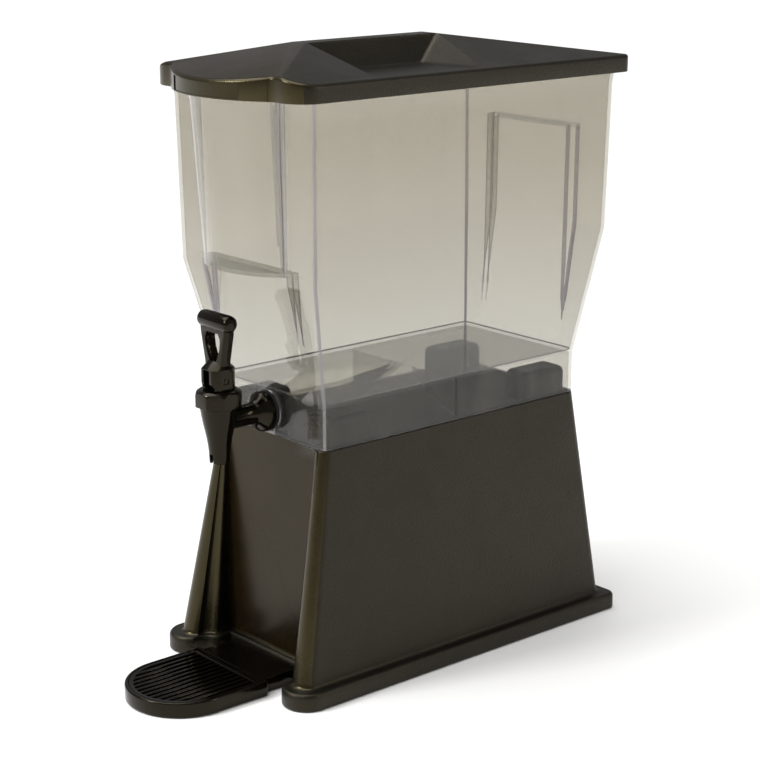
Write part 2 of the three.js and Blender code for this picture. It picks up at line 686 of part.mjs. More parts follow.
function piece(name, body, finish) {
  const geometry = body instanceof wasm.Manifold ? shell(body) : body;
  const mesh = new THREE.Mesh(geometry, new THREE.MeshStandardMaterial(FINISH[finish]));
  mesh.name = name;
  return mesh;
}

const dispenser = new THREE.Group();
dispenser.add(
  piece('base', makeStand(), 'grainedBlack'),
  piece('reservoir', makeReservoir(), 'clear'),
  piece('lid', makeLid(), 'grainedBlack'),
  piece('drip_tray', makeTray(), 'glossBlack'),
  piece('drip_grate', makeGrate(), 'glossBlack'),
  piece('faucet_body', makeFaucetBody(), 'glossBlack'),
  piece('faucet_bonnet', makeBonnet(), 'glossBlack'),
  piece('faucet_handle', makeHandle(), 'glossBlack'),
  piece('handle_pin', makePin(), 'glossBlack'),
  piece('valve_stem', makeStem(), 'steel'),
  piece('seat_cup', makeSeatCup(), 'silicone'),
  piece('closing_spring', makeSpring(), 'steel'),
  piece('spring_washer', makeSpringWasher(), 'glossBlack'),
  piece('outer_washer', makeShankRing(OUTER_WASHER), 'rubber'),
  piece('inner_washer', makeShankRing(INNER_WASHER), 'rubber'),
  piece('shank_nut', makeShankRing(NUT), 'glossBlack'),
);
for (const [side, sign] of [['left', -1], ['right', 1]]) {
  for (const end of ['front', 'rear']) {
    const [x, y] = FEET[end];
    dispenser.add(piece(`foot_${end}_${side}`, makeFoot([sign * x, y]), 'rubber'));
  }
}

// The origin is on the counter, under the middle of the whole footprint.
const frontY = TRAY.roundY - TRAY.half;
dispenser.position.y = -(frontY + LEDGE.rear) / 2;

export default dispenser;
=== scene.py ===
"""Gravity-fed beverage dispenser: clear bow-front reservoir, black stand, hipped lid, faucet and drip tray.

Every size below is in millimetres on the maker's drawing, where Y = 0 is the middle of the stand, +Z is up
and the faucet faces -Y. Drawing.to_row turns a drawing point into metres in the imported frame.
"""

import logging
import math
from collections.abc import Callable, Mapping, Sequence
from dataclasses import dataclass, field
from enum import Enum
from typing import Any

import bmesh
import bpy
from mathutils import Matrix, Vector


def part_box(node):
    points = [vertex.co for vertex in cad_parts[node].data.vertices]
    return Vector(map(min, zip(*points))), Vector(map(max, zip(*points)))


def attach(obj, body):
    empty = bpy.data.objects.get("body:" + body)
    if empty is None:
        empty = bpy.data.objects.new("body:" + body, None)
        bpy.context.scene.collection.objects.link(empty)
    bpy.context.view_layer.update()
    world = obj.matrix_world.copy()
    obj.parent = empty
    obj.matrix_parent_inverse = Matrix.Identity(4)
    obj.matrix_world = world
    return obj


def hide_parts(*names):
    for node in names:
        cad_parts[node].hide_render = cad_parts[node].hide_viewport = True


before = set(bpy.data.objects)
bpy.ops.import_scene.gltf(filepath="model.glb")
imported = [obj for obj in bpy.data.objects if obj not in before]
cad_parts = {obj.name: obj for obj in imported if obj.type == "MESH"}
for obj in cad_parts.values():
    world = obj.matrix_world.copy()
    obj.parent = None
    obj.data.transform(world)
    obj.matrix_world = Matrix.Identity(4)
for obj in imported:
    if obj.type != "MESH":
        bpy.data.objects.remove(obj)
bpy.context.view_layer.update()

logging.basicConfig(level=logging.INFO, format="%(message)s")
LOG = logging.getLogger("dispenser")

Point2 = tuple[float, float]
Point3 = tuple[float, float, float]
Ring = list[Point3]
Feeds = dict[str | int, Any]

MM = 0.001
TINY = 1e-6  # below this a drawing measure counts as nought
WELD = 2e-6  # corners closer than this, in metres, become one
LEAST_RADIUS = 0.02  # stands in for a radius of nought, so that a turned body stays closed
STAND_REAR_Y = 177.6  # the stand's rear edge on the drawing, by which the drawing is placed in the frame


class Slot(Enum):
    """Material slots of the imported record."""

    GRAINED = "grained_black"
    GLOSS = "gloss_black"
    CLEAR = "clear_polycarbonate"
    RUBBER = "black_rubber"
    SILICONE = "silicone"
    STEEL = "stainless"


class Boolean(Enum):
    """How a tool body changes a target body."""

    ADD = "UNION"
    CUT = "DIFFERENCE"
    KEEP = "INTERSECT"


class Axis(Enum):
    """Direction that the stations of a turned body run in."""

    UP = "z"
    BACK = "y"


class Part(Enum):
    """Part of the tank's wall."""

    TAPER = "below the fold"
    TRUNK = "above the fold"


# ---------------------------------------------------------------- outlines


def arc(centre: Point2, radius: float, start: float, end: float, steps: int) -> list[Point2]:
    """Points of a circular arc.

    Args:
        centre: Centre of the circle.
        radius: Radius of the circle.
        start: First angle in degrees, from +X towards +Y.
        end: Last angle in degrees.
        steps: Number of equal steps.

    Returns:
        steps + 1 points.
    """
    angles = [math.radians(start + (end - start) * i / steps) for i in range(steps + 1)]
    return [(centre[0] + radius * math.cos(a), centre[1] + radius * math.sin(a)) for a in angles]


def bend(start: Point2, control: Point2, end: Point2, steps: int, ends: bool = False) -> list[Point2]:
    """Points of a quadratic curve.

    Args:
        start: First end of the curve.
        control: Point that the curve leans to.
        end: Second end of the curve.
        steps: Number of steps.
        ends: True to keep the two ends.

    Returns:
        The inner points, or all of them.
    """
    points = []
    for i in range(0 if ends else 1, steps + (1 if ends else 0)):
        t = i / steps
        shares = (1 - t) ** 2, 2 * t * (1 - t), t * t
        points.append(tuple(sum(s * c for s, c in zip(shares, axis)) for axis in zip(start, control, end)))
    return points


def lerp(a: float, b: float, t: float) -> float:
    """Straight blend from a to b."""
    return a + (b - a) * t


def smooth(t: float) -> float:
    """Soft step from 0 to 1."""
    t = min(max(t, 0.0), 1.0)
    return t * t * (3 - 2 * t)


def mirrored(right: Sequence[Point2], z: float | Callable[[float, float], float]) -> Ring:
    """Whole ring from its right half, which runs from front to rear.

    Args:
        right: Points with x >= 0, front first.
        z: Height, or a function of x and y that gives it.

    Returns:
        Ring that runs counterclockwise from above.
    """
    left = [(-x, y) for x, y in reversed(right) if x > TINY]
    return [(x, y, z(x, y) if callable(z) else z) for x, y in [*right, *left]]


def between(low: Ring, high: Ring, share: float) -> Ring:
    """Ring part of the way from one ring to another.

    Args:
        low: Ring at share 0.
        high: Ring at share 1.
        share: Place between them.

    Returns:
        The ring.
    """
    return [tuple(lerp(a, b, share) for a, b in zip(p, q)) for p, q in zip(low, high)]


# ---------------------------------------------------------------- meshes


def put_in_scene(name: str, data: bpy.types.ID) -> bpy.types.Object:
    """New object in the scene that shows a mesh, a lamp or a camera.

    Args:
        name: Name of the object.
        data: What it shows.

    Returns:
        The object.
    """
    made = bpy.data.objects.new(name, data)
    bpy.context.scene.collection.objects.link(made)
    return made


@dataclass(frozen=True)
class Drawing:
    """Place of the maker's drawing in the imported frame.

    Attributes:
        shift_y: How far the drawing's Y = 0 lies behind the frame's, in millimetres.
    """

    shift_y: float

    def to_row(self, point: Point3) -> Vector:
        """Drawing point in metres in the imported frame."""
        return Vector((point[0], point[1] + self.shift_y, point[2])) * MM

    def body(self, name: str, points: Sequence[Point3], faces: Sequence[Sequence[int]]) -> bpy.types.Object:
        """New object from drawing points and faces.

        Args:
            name: Name of the object.
            points: Corners in millimetres on the drawing.
            faces: Corner numbers of each face, counterclockwise from outside.

        Returns:
            The object, linked to the scene, with smooth faces.
        """
        mesh = bpy.data.meshes.new(name)
        mesh.from_pydata([self.to_row(p) for p in points], [], [tuple(f) for f in faces])
        mesh.update()
        mesh.shade_smooth()
        return put_in_scene(name, mesh)

    def loft(self, name: str, rings: Sequence[Ring]) -> bpy.types.Object:
        """Closed body skinned over rings of equal count, with both ends capped.

        Args:
            name: Name of the object.
            rings: Rings that run counterclockwise from above, in order along the outside.

        Returns:
            The object.
        """
        count = len(rings[0])
        points = [p for ring in rings for p in ring]
        faces: list[Sequence[int]] = [tuple(reversed(range(count)))]
        for level in range(len(rings) - 1):
            base = level * count
            for i in range(count):
                j = (i + 1) % count
                faces.append((base + i, base + j, base + j + count, base + i + count))
        last = (len(rings) - 1) * count
        faces.append(tuple(range(last, last + count)))
        return self.body(name, points, faces)

    def turned(
        self, name: str, profile: Sequence[Point2], centre: Point3, axis: Axis = Axis.UP, steps: int = 64
    ) -> bpy.types.Object:
        """Closed body of revolution.

        Args:
            name: Name of the object.
            profile: Radius and station pairs from one end to the other.
            centre: Drawing point that station 0 lies on.
            axis: The axis that the stations run along.
            steps: Points round the body.

        Returns:
            The object.
        """
        rings: list[Ring] = []
        for wanted, station in profile:
            radius = max(wanted, LEAST_RADIUS)
            ring = []
            for i in range(steps):
                angle = 2 * math.pi * i / steps
                a, b = radius * math.cos(angle), radius * math.sin(angle)
                offset = (a, b, station) if axis is Axis.UP else (b, station, a)
                ring.append(tuple(c + o for c, o in zip(centre, offset)))
            rings.append(ring)
        return self.loft(name, rings)

    def web(self, name: str, outline: Sequence[Point2], y: Point2) -> bpy.types.Object:
        """Flat plate across the drawing's Y.

        Args:
            name: Name of the object.
            outline: X and Z pairs, clockwise as seen from the front.
            y: Front and rear face.

        Returns:
            The object.
        """
        return self.loft(name, [[(x, at, z) for x, z in outline] for at in y])

    def block(self, name: str, x: Point2, y: Point2, z: Point2) -> bpy.types.Object:
        """Plain block that other bodies are cut with."""
        corners = [(x[0], y[0]), (x[1], y[0]), (x[1], y[1]), (x[0], y[1])]
        return self.loft(name, [[(px, py, level) for px, py in corners] for level in z])


def apply_modifiers(target: bpy.types.Object) -> None:
    """Bakes an object's modifiers into a plain mesh and removes them.

    Args:
        target: Object whose modifiers are applied.
    """
    graph = bpy.context.evaluated_depsgraph_get()
    graph.update()
    mesh = bpy.data.meshes.new_from_object(target.evaluated_get(graph), depsgraph=graph)
    target.modifiers.clear()
    old = target.data
    target.data = mesh
    bpy.data.meshes.remove(old)
    mesh.name = target.name


def remove(*bodies: bpy.types.Object) -> None:
    """Removes objects and their meshes.

    Args:
        bodies: Mesh objects that are no longer needed.
    """
    for body in bodies:
        mesh = body.data
        bpy.data.objects.remove(body)
        bpy.data.meshes.remove(mesh)


def combine(target: bpy.types.Object, kind: Boolean, *tools: bpy.types.Object) -> bpy.types.Object:
    """Adds, cuts or intersects closed bodies.

    Args:
        target: Body that stays.
        kind: What the tools do to it.
        tools: Bodies that are used up.

    Returns:
        The target.
    """
    for tool in tools:
        step = target.modifiers.new("boolean", "BOOLEAN")
        step.operation, step.object, step.solver = kind.value, tool, "EXACT"
    apply_modifiers(target)
    remove(*tools)
    return target


def round_edges(
    target: bpy.types.Object,
    width: float,
    segments: int = 3,
    angle: float = 30,
    where: Callable[[Vector], bool] | None = None,
) -> bpy.types.Object:
    """Rounds the sharp edges of a body.

    Args:
        target: Closed body.
        width: Width of the rounding in millimetres.
        segments: Steps of the rounding.
        angle: Edges that turn by more than this, in degrees, are rounded.
        where: Test of an edge's middle in row metres; None takes every sharp edge.

    Returns:
        The target.
    """
    shape = bmesh.new()
    shape.from_mesh(target.data)
    bmesh.ops.remove_doubles(shape, verts=shape.verts, dist=WELD)
    flat = math.radians(0.6)
    bmesh.ops.dissolve_limit(
        shape, angle_limit=flat, verts=shape.verts, edges=shape.edges, delimit={"MATERIAL"}
    )
    sharp = [
        e
        for e in shape.edges
        if len(e.link_faces) == 2
        and e.calc_face_angle(0) > math.radians(angle)
        and (where is None or where((e.verts[0].co + e.verts[1].co) / 2))
    ]
    shaping = {"profile": 0.5, "affect": "EDGES", "clamp_overlap": True}
    bmesh.ops.bevel(shape, geom=sharp, offset=width * MM, segments=segments, **shaping)
    bmesh.ops.remove_doubles(shape, verts=shape.verts, dist=WELD)
    shape.to_mesh(target.data)
    shape.free()
    shade(target)
    return target


def shade(target: bpy.types.Object, angle: float = 32) -> None:
    """Smooth shading with a crease wherever faces turn by more than the angle in degrees."""
    target.data.shade_smooth()
    target.data.set_sharp_from_angle(angle=math.radians(angle))


def copy_of(node: str, name: str) -> bpy.types.Object:
    """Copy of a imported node's mesh, ready to be refined.

    Args:
        node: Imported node.
        name: Name of the copy.

    Returns:
        The copy, without materials.
    """
    made = put_in_scene(name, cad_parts[node].data.copy())
    made.data.name = name
    made.data.materials.clear()
    return made


def dress_node(node: str, finish: bpy.types.Material) -> None:
    """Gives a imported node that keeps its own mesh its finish.

    Args:
        node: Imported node.
        finish: Its material.
    """
    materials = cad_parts[node].data.materials
    materials.clear()
    materials.append(finish)
    LOG.info("%s: packed mesh, dressed in %s", node, finish.name)


def report(piece: bpy.types.Object, body: str, slot: Slot, *nodes: str) -> bpy.types.Object:
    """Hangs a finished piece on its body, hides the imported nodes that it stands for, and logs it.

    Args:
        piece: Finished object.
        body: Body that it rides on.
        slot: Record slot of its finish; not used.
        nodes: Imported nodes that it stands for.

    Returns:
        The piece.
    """
    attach(piece, body)
    if nodes:
        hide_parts(*nodes)
    faces, owners = len(piece.data.polygons), ", ".join(nodes) or "nothing"
    LOG.info("%s: %d faces, rides on %s, stands for %s", piece.name, faces, body, owners)
    return piece


# ---------------------------------------------------------------- node trees


def add(
    tree: bpy.types.NodeTree, kind: str, feeds: Mapping[str | int, Any] | None = None, **options: Any
) -> bpy.types.Node:
    """Adds a node with its settings, values and links.

    Args:
        tree: Tree that the node joins.
        kind: Type name of the node.
        feeds: Values, sockets or nodes for its inputs, by name or number; a node gives its first output.
        options: Settings of the node itself.

    Returns:
        The node.
    """
    node = tree.nodes.new(kind)
    for key, value in options.items():
        setattr(node, key, value)
    for key, value in (feeds or {}).items():
        source = value.outputs[0] if isinstance(value, bpy.types.Node) else value
        if isinstance(source, bpy.types.NodeSocket):
            tree.links.new(source, node.inputs[key])
        else:
            node.inputs[key].default_value = source
    return node


def linear(code: str) -> tuple[float, float, float, float]:
    """Linear colour from an sRGB hex code such as "#37332A".

    Args:
        code: Hash sign and six hex digits.

    Returns:
        Red, green, blue and an alpha of 1.
    """
    parts = [int(code[i : i + 2], 16) / 255 for i in (1, 3, 5)]
    low = [c / 12.92 if c <= 0.04045 else ((c + 0.055) / 1.055) ** 2.4 for c in parts]
    return (*low, 1.0)


def start_material(name: str) -> tuple[bpy.types.Material, bpy.types.NodeTree, bpy.types.NodeSocket]:
    """Empty material with its tree and the object coordinates.

    Args:
        name: Name of the material.

    Returns:
        The material, its node tree, and the socket of the object coordinates.
    """
    made = bpy.data.materials.new(name)
    made.use_nodes = True
    tree = made.node_tree
    tree.nodes.clear()
    return made, tree, add(tree, "ShaderNodeTexCoord").outputs["Object"]


def blend_of(share: Any, colours: tuple[str, str]) -> Feeds:
    """Inputs of a colour mix from one hex colour to another."""
    return {0: share, 6: linear(colours[0]), 7: linear(colours[1])}


def spread_of(pattern: Any, ends: Point2 = (0.0, 1.0)) -> Feeds:
    """Inputs of a range that takes the middle of a pattern, 0.3 to 0.7, to two ends."""
    return {0: pattern, 1: 0.3, 2: 0.7, 3: ends[0], 4: ends[1]}


@dataclass(frozen=True)
class Pattern:
    """Irregular pattern of a real size.

    Attributes:
        size_mm: Width of its features.
        detail: Number of finer layers in it.
        rough: Strength of each finer layer.
    """

    size_mm: float
    detail: float = 2.0
    rough: float = 0.5

    def at(self, place: Any) -> Feeds:
        """Inputs of the noise that draws it."""
        layers = {"Detail": self.detail, "Roughness": self.rough}
        return {"Vector": place, "Scale": 1 / (self.size_mm * MM), **layers}


@dataclass(frozen=True)
class MouldedPlastic:
    """Opaque moulded ABS or polypropylene.

    Attributes:
        name: Material name.
        mottle: Darker and lighter colour of its slight mottling.
        rough: Least and most roughness.
        grain_mm: Width of the mould's texture; a real one is 0.2 to 0.5 mm, drawn coarser to show.
        grain_depth_mm: Height of that texture.
        sink_mm: Height of the slow waves that a moulding cools into.
        specular: Specular level; ABS is near 0.5, and a dusty grained face gives less.
        gleam: Colour of the highlight.
        clouds: Pattern of the mottling.
        handling: Pattern of the wear that changes its roughness.
        waves: Pattern of the sink waves.
    """

    name: str
    mottle: tuple[str, str]
    rough: Point2
    grain_mm: float
    grain_depth_mm: float
    sink_mm: float
    specular: float
    gleam: str
    clouds: Pattern = Pattern(24, 3)
    handling: Pattern = Pattern(60, 4, 0.55)
    waves: Pattern = Pattern(35, 1)

    def build(self) -> bpy.types.Material:
        """Makes the material."""
        made, tree, place = start_material(self.name)
        noise, spread = "ShaderNodeTexNoise", "ShaderNodeMapRange"
        clouds = add(tree, noise, self.clouds.at(place))
        grain = add(tree, noise, Pattern(self.grain_mm, 3, 0.6).at(place))
        handled = add(tree, noise, self.handling.at(place))
        waves = add(tree, noise, self.waves.at(place))
        shares = [add(tree, spread, spread_of(pattern), clamp=True) for pattern in (clouds, grain)]
        colour = add(tree, "ShaderNodeMix", blend_of(shares[0], self.mottle), data_type="RGBA").outputs[2]
        specks = add(tree, "ShaderNodeMix", blend_of(shares[1], ("#808080", "#FFFFFF")), data_type="RGBA")
        feeds = {0: 0.8, 6: colour, 7: specks.outputs[2]}
        speckled = add(tree, "ShaderNodeMix", feeds, data_type="RGBA", blend_type="MULTIPLY").outputs[2]
        feeds = {"Strength": 1.0, "Distance": self.grain_depth_mm * MM, "Height": grain}
        fine = add(tree, "ShaderNodeBump", feeds)
        feeds = {"Strength": 1.0, "Distance": self.sink_mm * MM, "Height": waves, "Normal": fine}
        slow = add(tree, "ShaderNodeBump", feeds)
        skin = {
            "Base Color": speckled,
            "Roughness": add(tree, spread, spread_of(handled, self.rough), clamp=True),
            "IOR": 1.5,
            "Specular IOR Level": self.specular,
            "Specular Tint": linear(self.gleam),
            "Normal": slow,
        }
        shader = add(tree, "ShaderNodeBsdfPrincipled", skin)
        add(tree, "ShaderNodeOutputMaterial", {"Surface": shader})
        return made


@dataclass(frozen=True)
class ClearPlastic:
    """Clear moulded polycarbonate, seen as thin skins one behind the other.

    Attributes:
        name: Material name.
        passed: Colour that one skin lets through, low on the part and high on it; the change between the two
            is painted shade, not a tint of the plastic.
        haze: Colour of the faint scatter in it.
        haze_share: How much one skin scatters.
        head_on: How much one skin mirrors when seen head-on.
        rough: Roughness of the polished face.
        passed_z: Heights in millimetres between which the passed colour changes, and so where the painted
            shade changes.
        flow: How far the plastic's streaks are squeezed across; they run up the part, as it was filled.
        streaks: Pattern of those streaks.
        ripple: Pattern of the slow ripple in the walls.
        ripple_depth_mm: Height of that ripple.
    """

    name: str
    passed: tuple[str, str]
    haze: str
    haze_share: Point2
    head_on: float
    rough: float
    passed_z: Point2 = (250.0, 400.0)
    flow: Point3 = (1.0, 1.0, 0.08)
    streaks: Pattern = Pattern(9, 3, 0.55)
    ripple: Pattern = Pattern(40, 1)
    ripple_depth_mm: float = 0.03

    def build(self) -> bpy.types.Material:
        """Makes the material."""
        made, tree, place = start_material(self.name)
        flow = add(tree, "ShaderNodeMapping", {"Vector": place, "Scale": self.flow})
        streaks = add(tree, "ShaderNodeTexNoise", self.streaks.at(flow))
        ripple = add(tree, "ShaderNodeTexNoise", self.ripple.at(flow))
        feeds = {"Strength": 1.0, "Distance": self.ripple_depth_mm * MM, "Height": ripple}
        bumps = add(tree, "ShaderNodeBump", feeds)
        # Painted shade: the colour let through changes with height on the part.
        height = add(tree, "ShaderNodeSeparateXYZ", {0: place}).outputs["Z"]
        low_z, high_z = (z * MM for z in self.passed_z)
        share = add(tree, "ShaderNodeMapRange", {0: height, 1: low_z, 2: high_z}, clamp=True)
        passed = add(tree, "ShaderNodeMix", blend_of(share, self.passed), data_type="RGBA").outputs[2]
        clear = add(tree, "ShaderNodeBsdfTransparent", {"Color": passed})
        milk = add(tree, "ShaderNodeBsdfDiffuse", {"Color": linear(self.haze), "Normal": bumps})
        hazy = add(tree, "ShaderNodeMapRange", spread_of(streaks, self.haze_share), clamp=True)
        body = add(tree, "ShaderNodeMixShader", {0: hazy, 1: clear, 2: milk})
        facing = add(tree, "ShaderNodeLayerWeight", {"Blend": 0.5, "Normal": bumps}).outputs["Facing"]
        steep = add(tree, "ShaderNodeMath", {0: facing, 1: 5.0}, operation="POWER")
        feeds = {0: steep, 1: 1 - self.head_on, 2: self.head_on}
        face = add(tree, "ShaderNodeMath", feeds, operation="MULTIPLY_ADD")
        feeds = {"Color": linear("#FFFFFF"), "Roughness": self.rough, "Normal": bumps}
        mirror = add(tree, "ShaderNodeBsdfGlossy", feeds)
        shader = add(tree, "ShaderNodeMixShader", {0: face, 1: body, 2: mirror})
        add(tree, "ShaderNodeOutputMaterial", {"Surface": shader})
        return made


@dataclass(frozen=True)
class Elastomer:
    """Rubber or silicone.

    Attributes:
        name: Material name.
        mottle: Darker and lighter colour of its mottling.
        rough: Least and most roughness.
        soft: Weight of the light that passes under its surface.
        bloom: Pattern of the mottling.
        pores: Pattern of its fine pores.
        pore_depth_mm: Depth of the pores.
    """

    name: str
    mottle: tuple[str, str]
    rough: Point2
    soft: float = 0.0
    bloom: Pattern = Pattern(5, 4)
    pores: Pattern = Pattern(0.8)
    pore_depth_mm: float = 0.05

    def build(self) -> bpy.types.Material:
        """Makes the material."""
        made, tree, place = start_material(self.name)
        bloom = add(tree, "ShaderNodeTexNoise", self.bloom.at(place))
        pores = add(tree, "ShaderNodeTexNoise", self.pores.at(place))
        feeds = {"Strength": 1.0, "Distance": self.pore_depth_mm * MM, "Height": pores}
        bumps = add(tree, "ShaderNodeBump", feeds)
        share = add(tree, "ShaderNodeMapRange", spread_of(bloom), clamp=True)
        colour = add(tree, "ShaderNodeMix", blend_of(share, self.mottle), data_type="RGBA").outputs[2]
        skin = {
            "Base Color": colour,
            "Roughness": add(tree, "ShaderNodeMapRange", spread_of(pores, self.rough), clamp=True),
            "IOR": 1.45,
            "Subsurface Weight": self.soft,
            "Subsurface Scale": 0.002,
            "Normal": bumps,
        }
        shader = add(tree, "ShaderNodeBsdfPrincipled", skin)
        add(tree, "ShaderNodeOutputMaterial", {"Surface": shader})
        return made


@dataclass(frozen=True)
class TurnedSteel:
    """Stainless steel, turned on a lathe: fine rings along its length catch the light.

    Attributes:
        name: Material name.
        mottle: Colour in the tool marks and on their crests.
        marks: Pattern of the tool marks, drawn coarser than the real 0.1 mm so that they show.
        mark_depth_mm: Depth of the marks.
        stretch: How far the marks are drawn out round the axis.
        rough: Least and most roughness.
    """

    name: str
    mottle: tuple[str, str]
    marks: Pattern
    mark_depth_mm: float = 0.02
    stretch: Point3 = (0.02, 0.02, 1.0)
    rough: Point2 = (0.2, 0.34)

    def build(self) -> bpy.types.Material:
        """Makes the material."""
        made, tree, place = start_material(self.name)
        along = add(tree, "ShaderNodeMapping", {"Vector": place, "Scale": self.stretch})
        marks = add(tree, "ShaderNodeTexNoise", self.marks.at(along))
        feeds = {"Strength": 0.6, "Distance": self.mark_depth_mm * MM, "Height": marks}
        bumps = add(tree, "ShaderNodeBump", feeds)
        share = add(tree, "ShaderNodeMapRange", spread_of(marks), clamp=True)
        colour = add(tree, "ShaderNodeMix", blend_of(share, self.mottle), data_type="RGBA").outputs[2]
        skin = {
            "Base Color": colour,
            "Metallic": 1.0,
            "Roughness": add(tree, "ShaderNodeMapRange", spread_of(marks, self.rough), clamp=True),
            "Normal": bumps,
        }
        shader = add(tree, "ShaderNodeBsdfPrincipled", skin)
        add(tree, "ShaderNodeOutputMaterial", {"Surface": shader})
        return made


@dataclass
class Finishes:
    """Every material of the dispenser, made once."""

    # Polypropylene from a spark-eroded mould: fine grain that scatters the highlight into a soft grey bloom.
    grained: bpy.types.Material = field(init=False)
    # The same moulding where the mould is polished: the front panel, the arms and the lid's front. Its base
    # is lighter and more olive than the grained one: painted sheen for the light that these forward faces
    # catch.
    satin: bpy.types.Material = field(init=False)
    # The front panel between the arms, which is smoother and browner than they are.
    panel: bpy.types.Material = field(init=False)
    # ABS from a polished mould, almost black, with sharp highlights.
    gloss: bpy.types.Material = field(init=False)
    # Polished polycarbonate walls: see-through, with a faint warm tint that adds up from wall to wall. The
    # tint darkens higher up the tank: painted shade.
    clear: bpy.types.Material = field(init=False)
    # The same plastic where it bends or ends. More of it lies in line with the eye there, but its darker,
    # purple-tinted colour is painted shade for the dark lines that refraction draws along bends and edges.
    clear_bend_shade: bpy.types.Material = field(init=False)
    # The skirt, scuffed by being lifted on and off the stand: a little duller and milkier than the walls.
    clear_scuffed: bpy.types.Material = field(init=False)
    # Nitrile rubber from a matt mould: it takes the light without a highlight.
    rubber: bpy.types.Material = field(init=False)
    # Food-grade silicone: light passes a little way into it, so it looks milky.
    silicone: bpy.types.Material = field(init=False)
    # Turned stainless steel: bright, with fine rings round it.
    steel: bpy.types.Material = field(init=False)

    def __post_init__(self) -> None:
        """Makes the materials."""
        self.grained = MouldedPlastic(
            name="polypropylene_spark_eroded_black",
            mottle=("#0D0C09", "#15130D"),
            rough=(0.3, 0.42),
            grain_mm=1.7,
            grain_depth_mm=0.42,
            sink_mm=0.25,
            specular=0.38,
            gleam="#F2E4C6",
        ).build()
        # Satin base colours lighter than the grained ones: painted sheen, on top of the real smoother,
        # glossier finish.
        self.satin = MouldedPlastic(
            name="polypropylene_satin_black",
            mottle=("#151208", "#1E1A0D"),
            rough=(0.22, 0.32),
            grain_mm=2.0,
            grain_depth_mm=0.06,
            sink_mm=0.3,
            specular=0.55,
            gleam="#EEDDA8",
        ).build()
        self.panel = MouldedPlastic(
            name="polypropylene_polished_brown_black",
            mottle=("#1A130A", "#21190C"),
            rough=(0.2, 0.3),
            grain_mm=2.2,
            grain_depth_mm=0.02,
            sink_mm=0.35,
            specular=0.26,
            gleam="#DFC68E",
        ).build()
        self.gloss = MouldedPlastic(
            name="abs_polished_black",
            mottle=("#070604", "#0B0906"),
            rough=(0.1, 0.18),
            grain_mm=3.0,
            grain_depth_mm=0.008,
            sink_mm=0.1,
            specular=0.22,
            gleam="#FFEFD0",
        ).build()
        self.clear = ClearPlastic(
            name="polycarbonate_clear_moulded",
            # Darker colour let through high on the tank: painted shade for the lid's shadow and the darker
            # things seen through it there.
            passed=("#EAE9E6", "#E3E1DB"),
            haze="#C9C7C0",
            haze_share=(0.006, 0.018),
            head_on=0.04,
            rough=0.012,
        ).build()
        # Darker, purple-tinted colour let through at bends and edges: painted shade for refraction's dark
        # lines, darkest low down along the floor's edge.
        self.clear_bend_shade = ClearPlastic(
            name="polycarbonate_clear_bends_painted_shade",
            passed=("#ACA6B0", "#BDB9B8"),
            haze="#ECEAE6",
            haze_share=(0.04, 0.1),
            head_on=0.1,
            rough=0.04,
        ).build()
        self.clear_scuffed = ClearPlastic(
            name="polycarbonate_clear_scuffed",
            passed=("#E9E8E5", "#E9E8E5"),
            haze="#D6D5CF",
            haze_share=(0.01, 0.03),
            head_on=0.018,
            rough=0.02,
        ).build()
        self.rubber = Elastomer("nitrile_rubber_black", ("#161514", "#201F1D"), (0.6, 0.8)).build()
        self.silicone = Elastomer("silicone_translucent", ("#BDBAB0", "#D3D0C6"), (0.35, 0.5), 0.5).build()
        self.steel = TurnedSteel("stainless_steel_turned", ("#9A9B9C", "#C9CACB"), Pattern(0.6)).build()


# ---------------------------------------------------------------- stand


@dataclass(frozen=True)
class StandPlan:
    """Outline of the stand at one height.

    Attributes:
        half: Half width.
        rear: Y of the rear face.
        rear_radius: Radius of the rear corners.
        panel: X of the panel's side and Y of its face.
        bead: Centre and radius of the narrow bead beside the panel.
        flute: Point that the hollow between bead and arm leans to.
        lobe: Centre and radius of the arm.
        lobe_from: Angle that the arm's arc starts at.
        bead_turn: Angles that the bead's arc runs between.
        side_shares: Where extra points lie along the side wall.
    """

    half: float
    rear: float
    rear_radius: float
    panel: Point2
    bead: Point3
    flute: Point2
    lobe: Point3
    lobe_from: float
    bead_turn: Point2 = (150, 230)
    side_shares: Point3 = (0.12, 0.5, 0.9)

    def ring(self, z: float, grow: float = 0.0) -> Ring:
        """Outline at a height, grown outwards by some millimetres.

        Args:
            z: Height of the ring.
            grow: Growth in millimetres.

        Returns:
            The ring.
        """
        bead = arc(self.bead[:2], max(self.bead[2] + grow, 0.3), *self.bead_turn, 8)
        lobe = arc(self.lobe[:2], self.lobe[2] + grow, self.lobe_from, 360, 22)
        flute = (self.flute[0], self.flute[1] - grow)
        x, y = self.half - self.rear_radius, self.rear - self.rear_radius
        side = [(self.half + grow, lerp(self.lobe[1], y, t)) for t in self.side_shares]
        rear = arc((x, y), self.rear_radius + grow, 0, 90, 10)
        face = self.panel[1] - grow
        front = [(0.0, face), (self.panel[0] * 0.5, face), (self.panel[0], face)]
        return mirrored([*front, *bead, *bend(bead[-1], flute, lobe[0], 7), *lobe, *side, *rear], z)


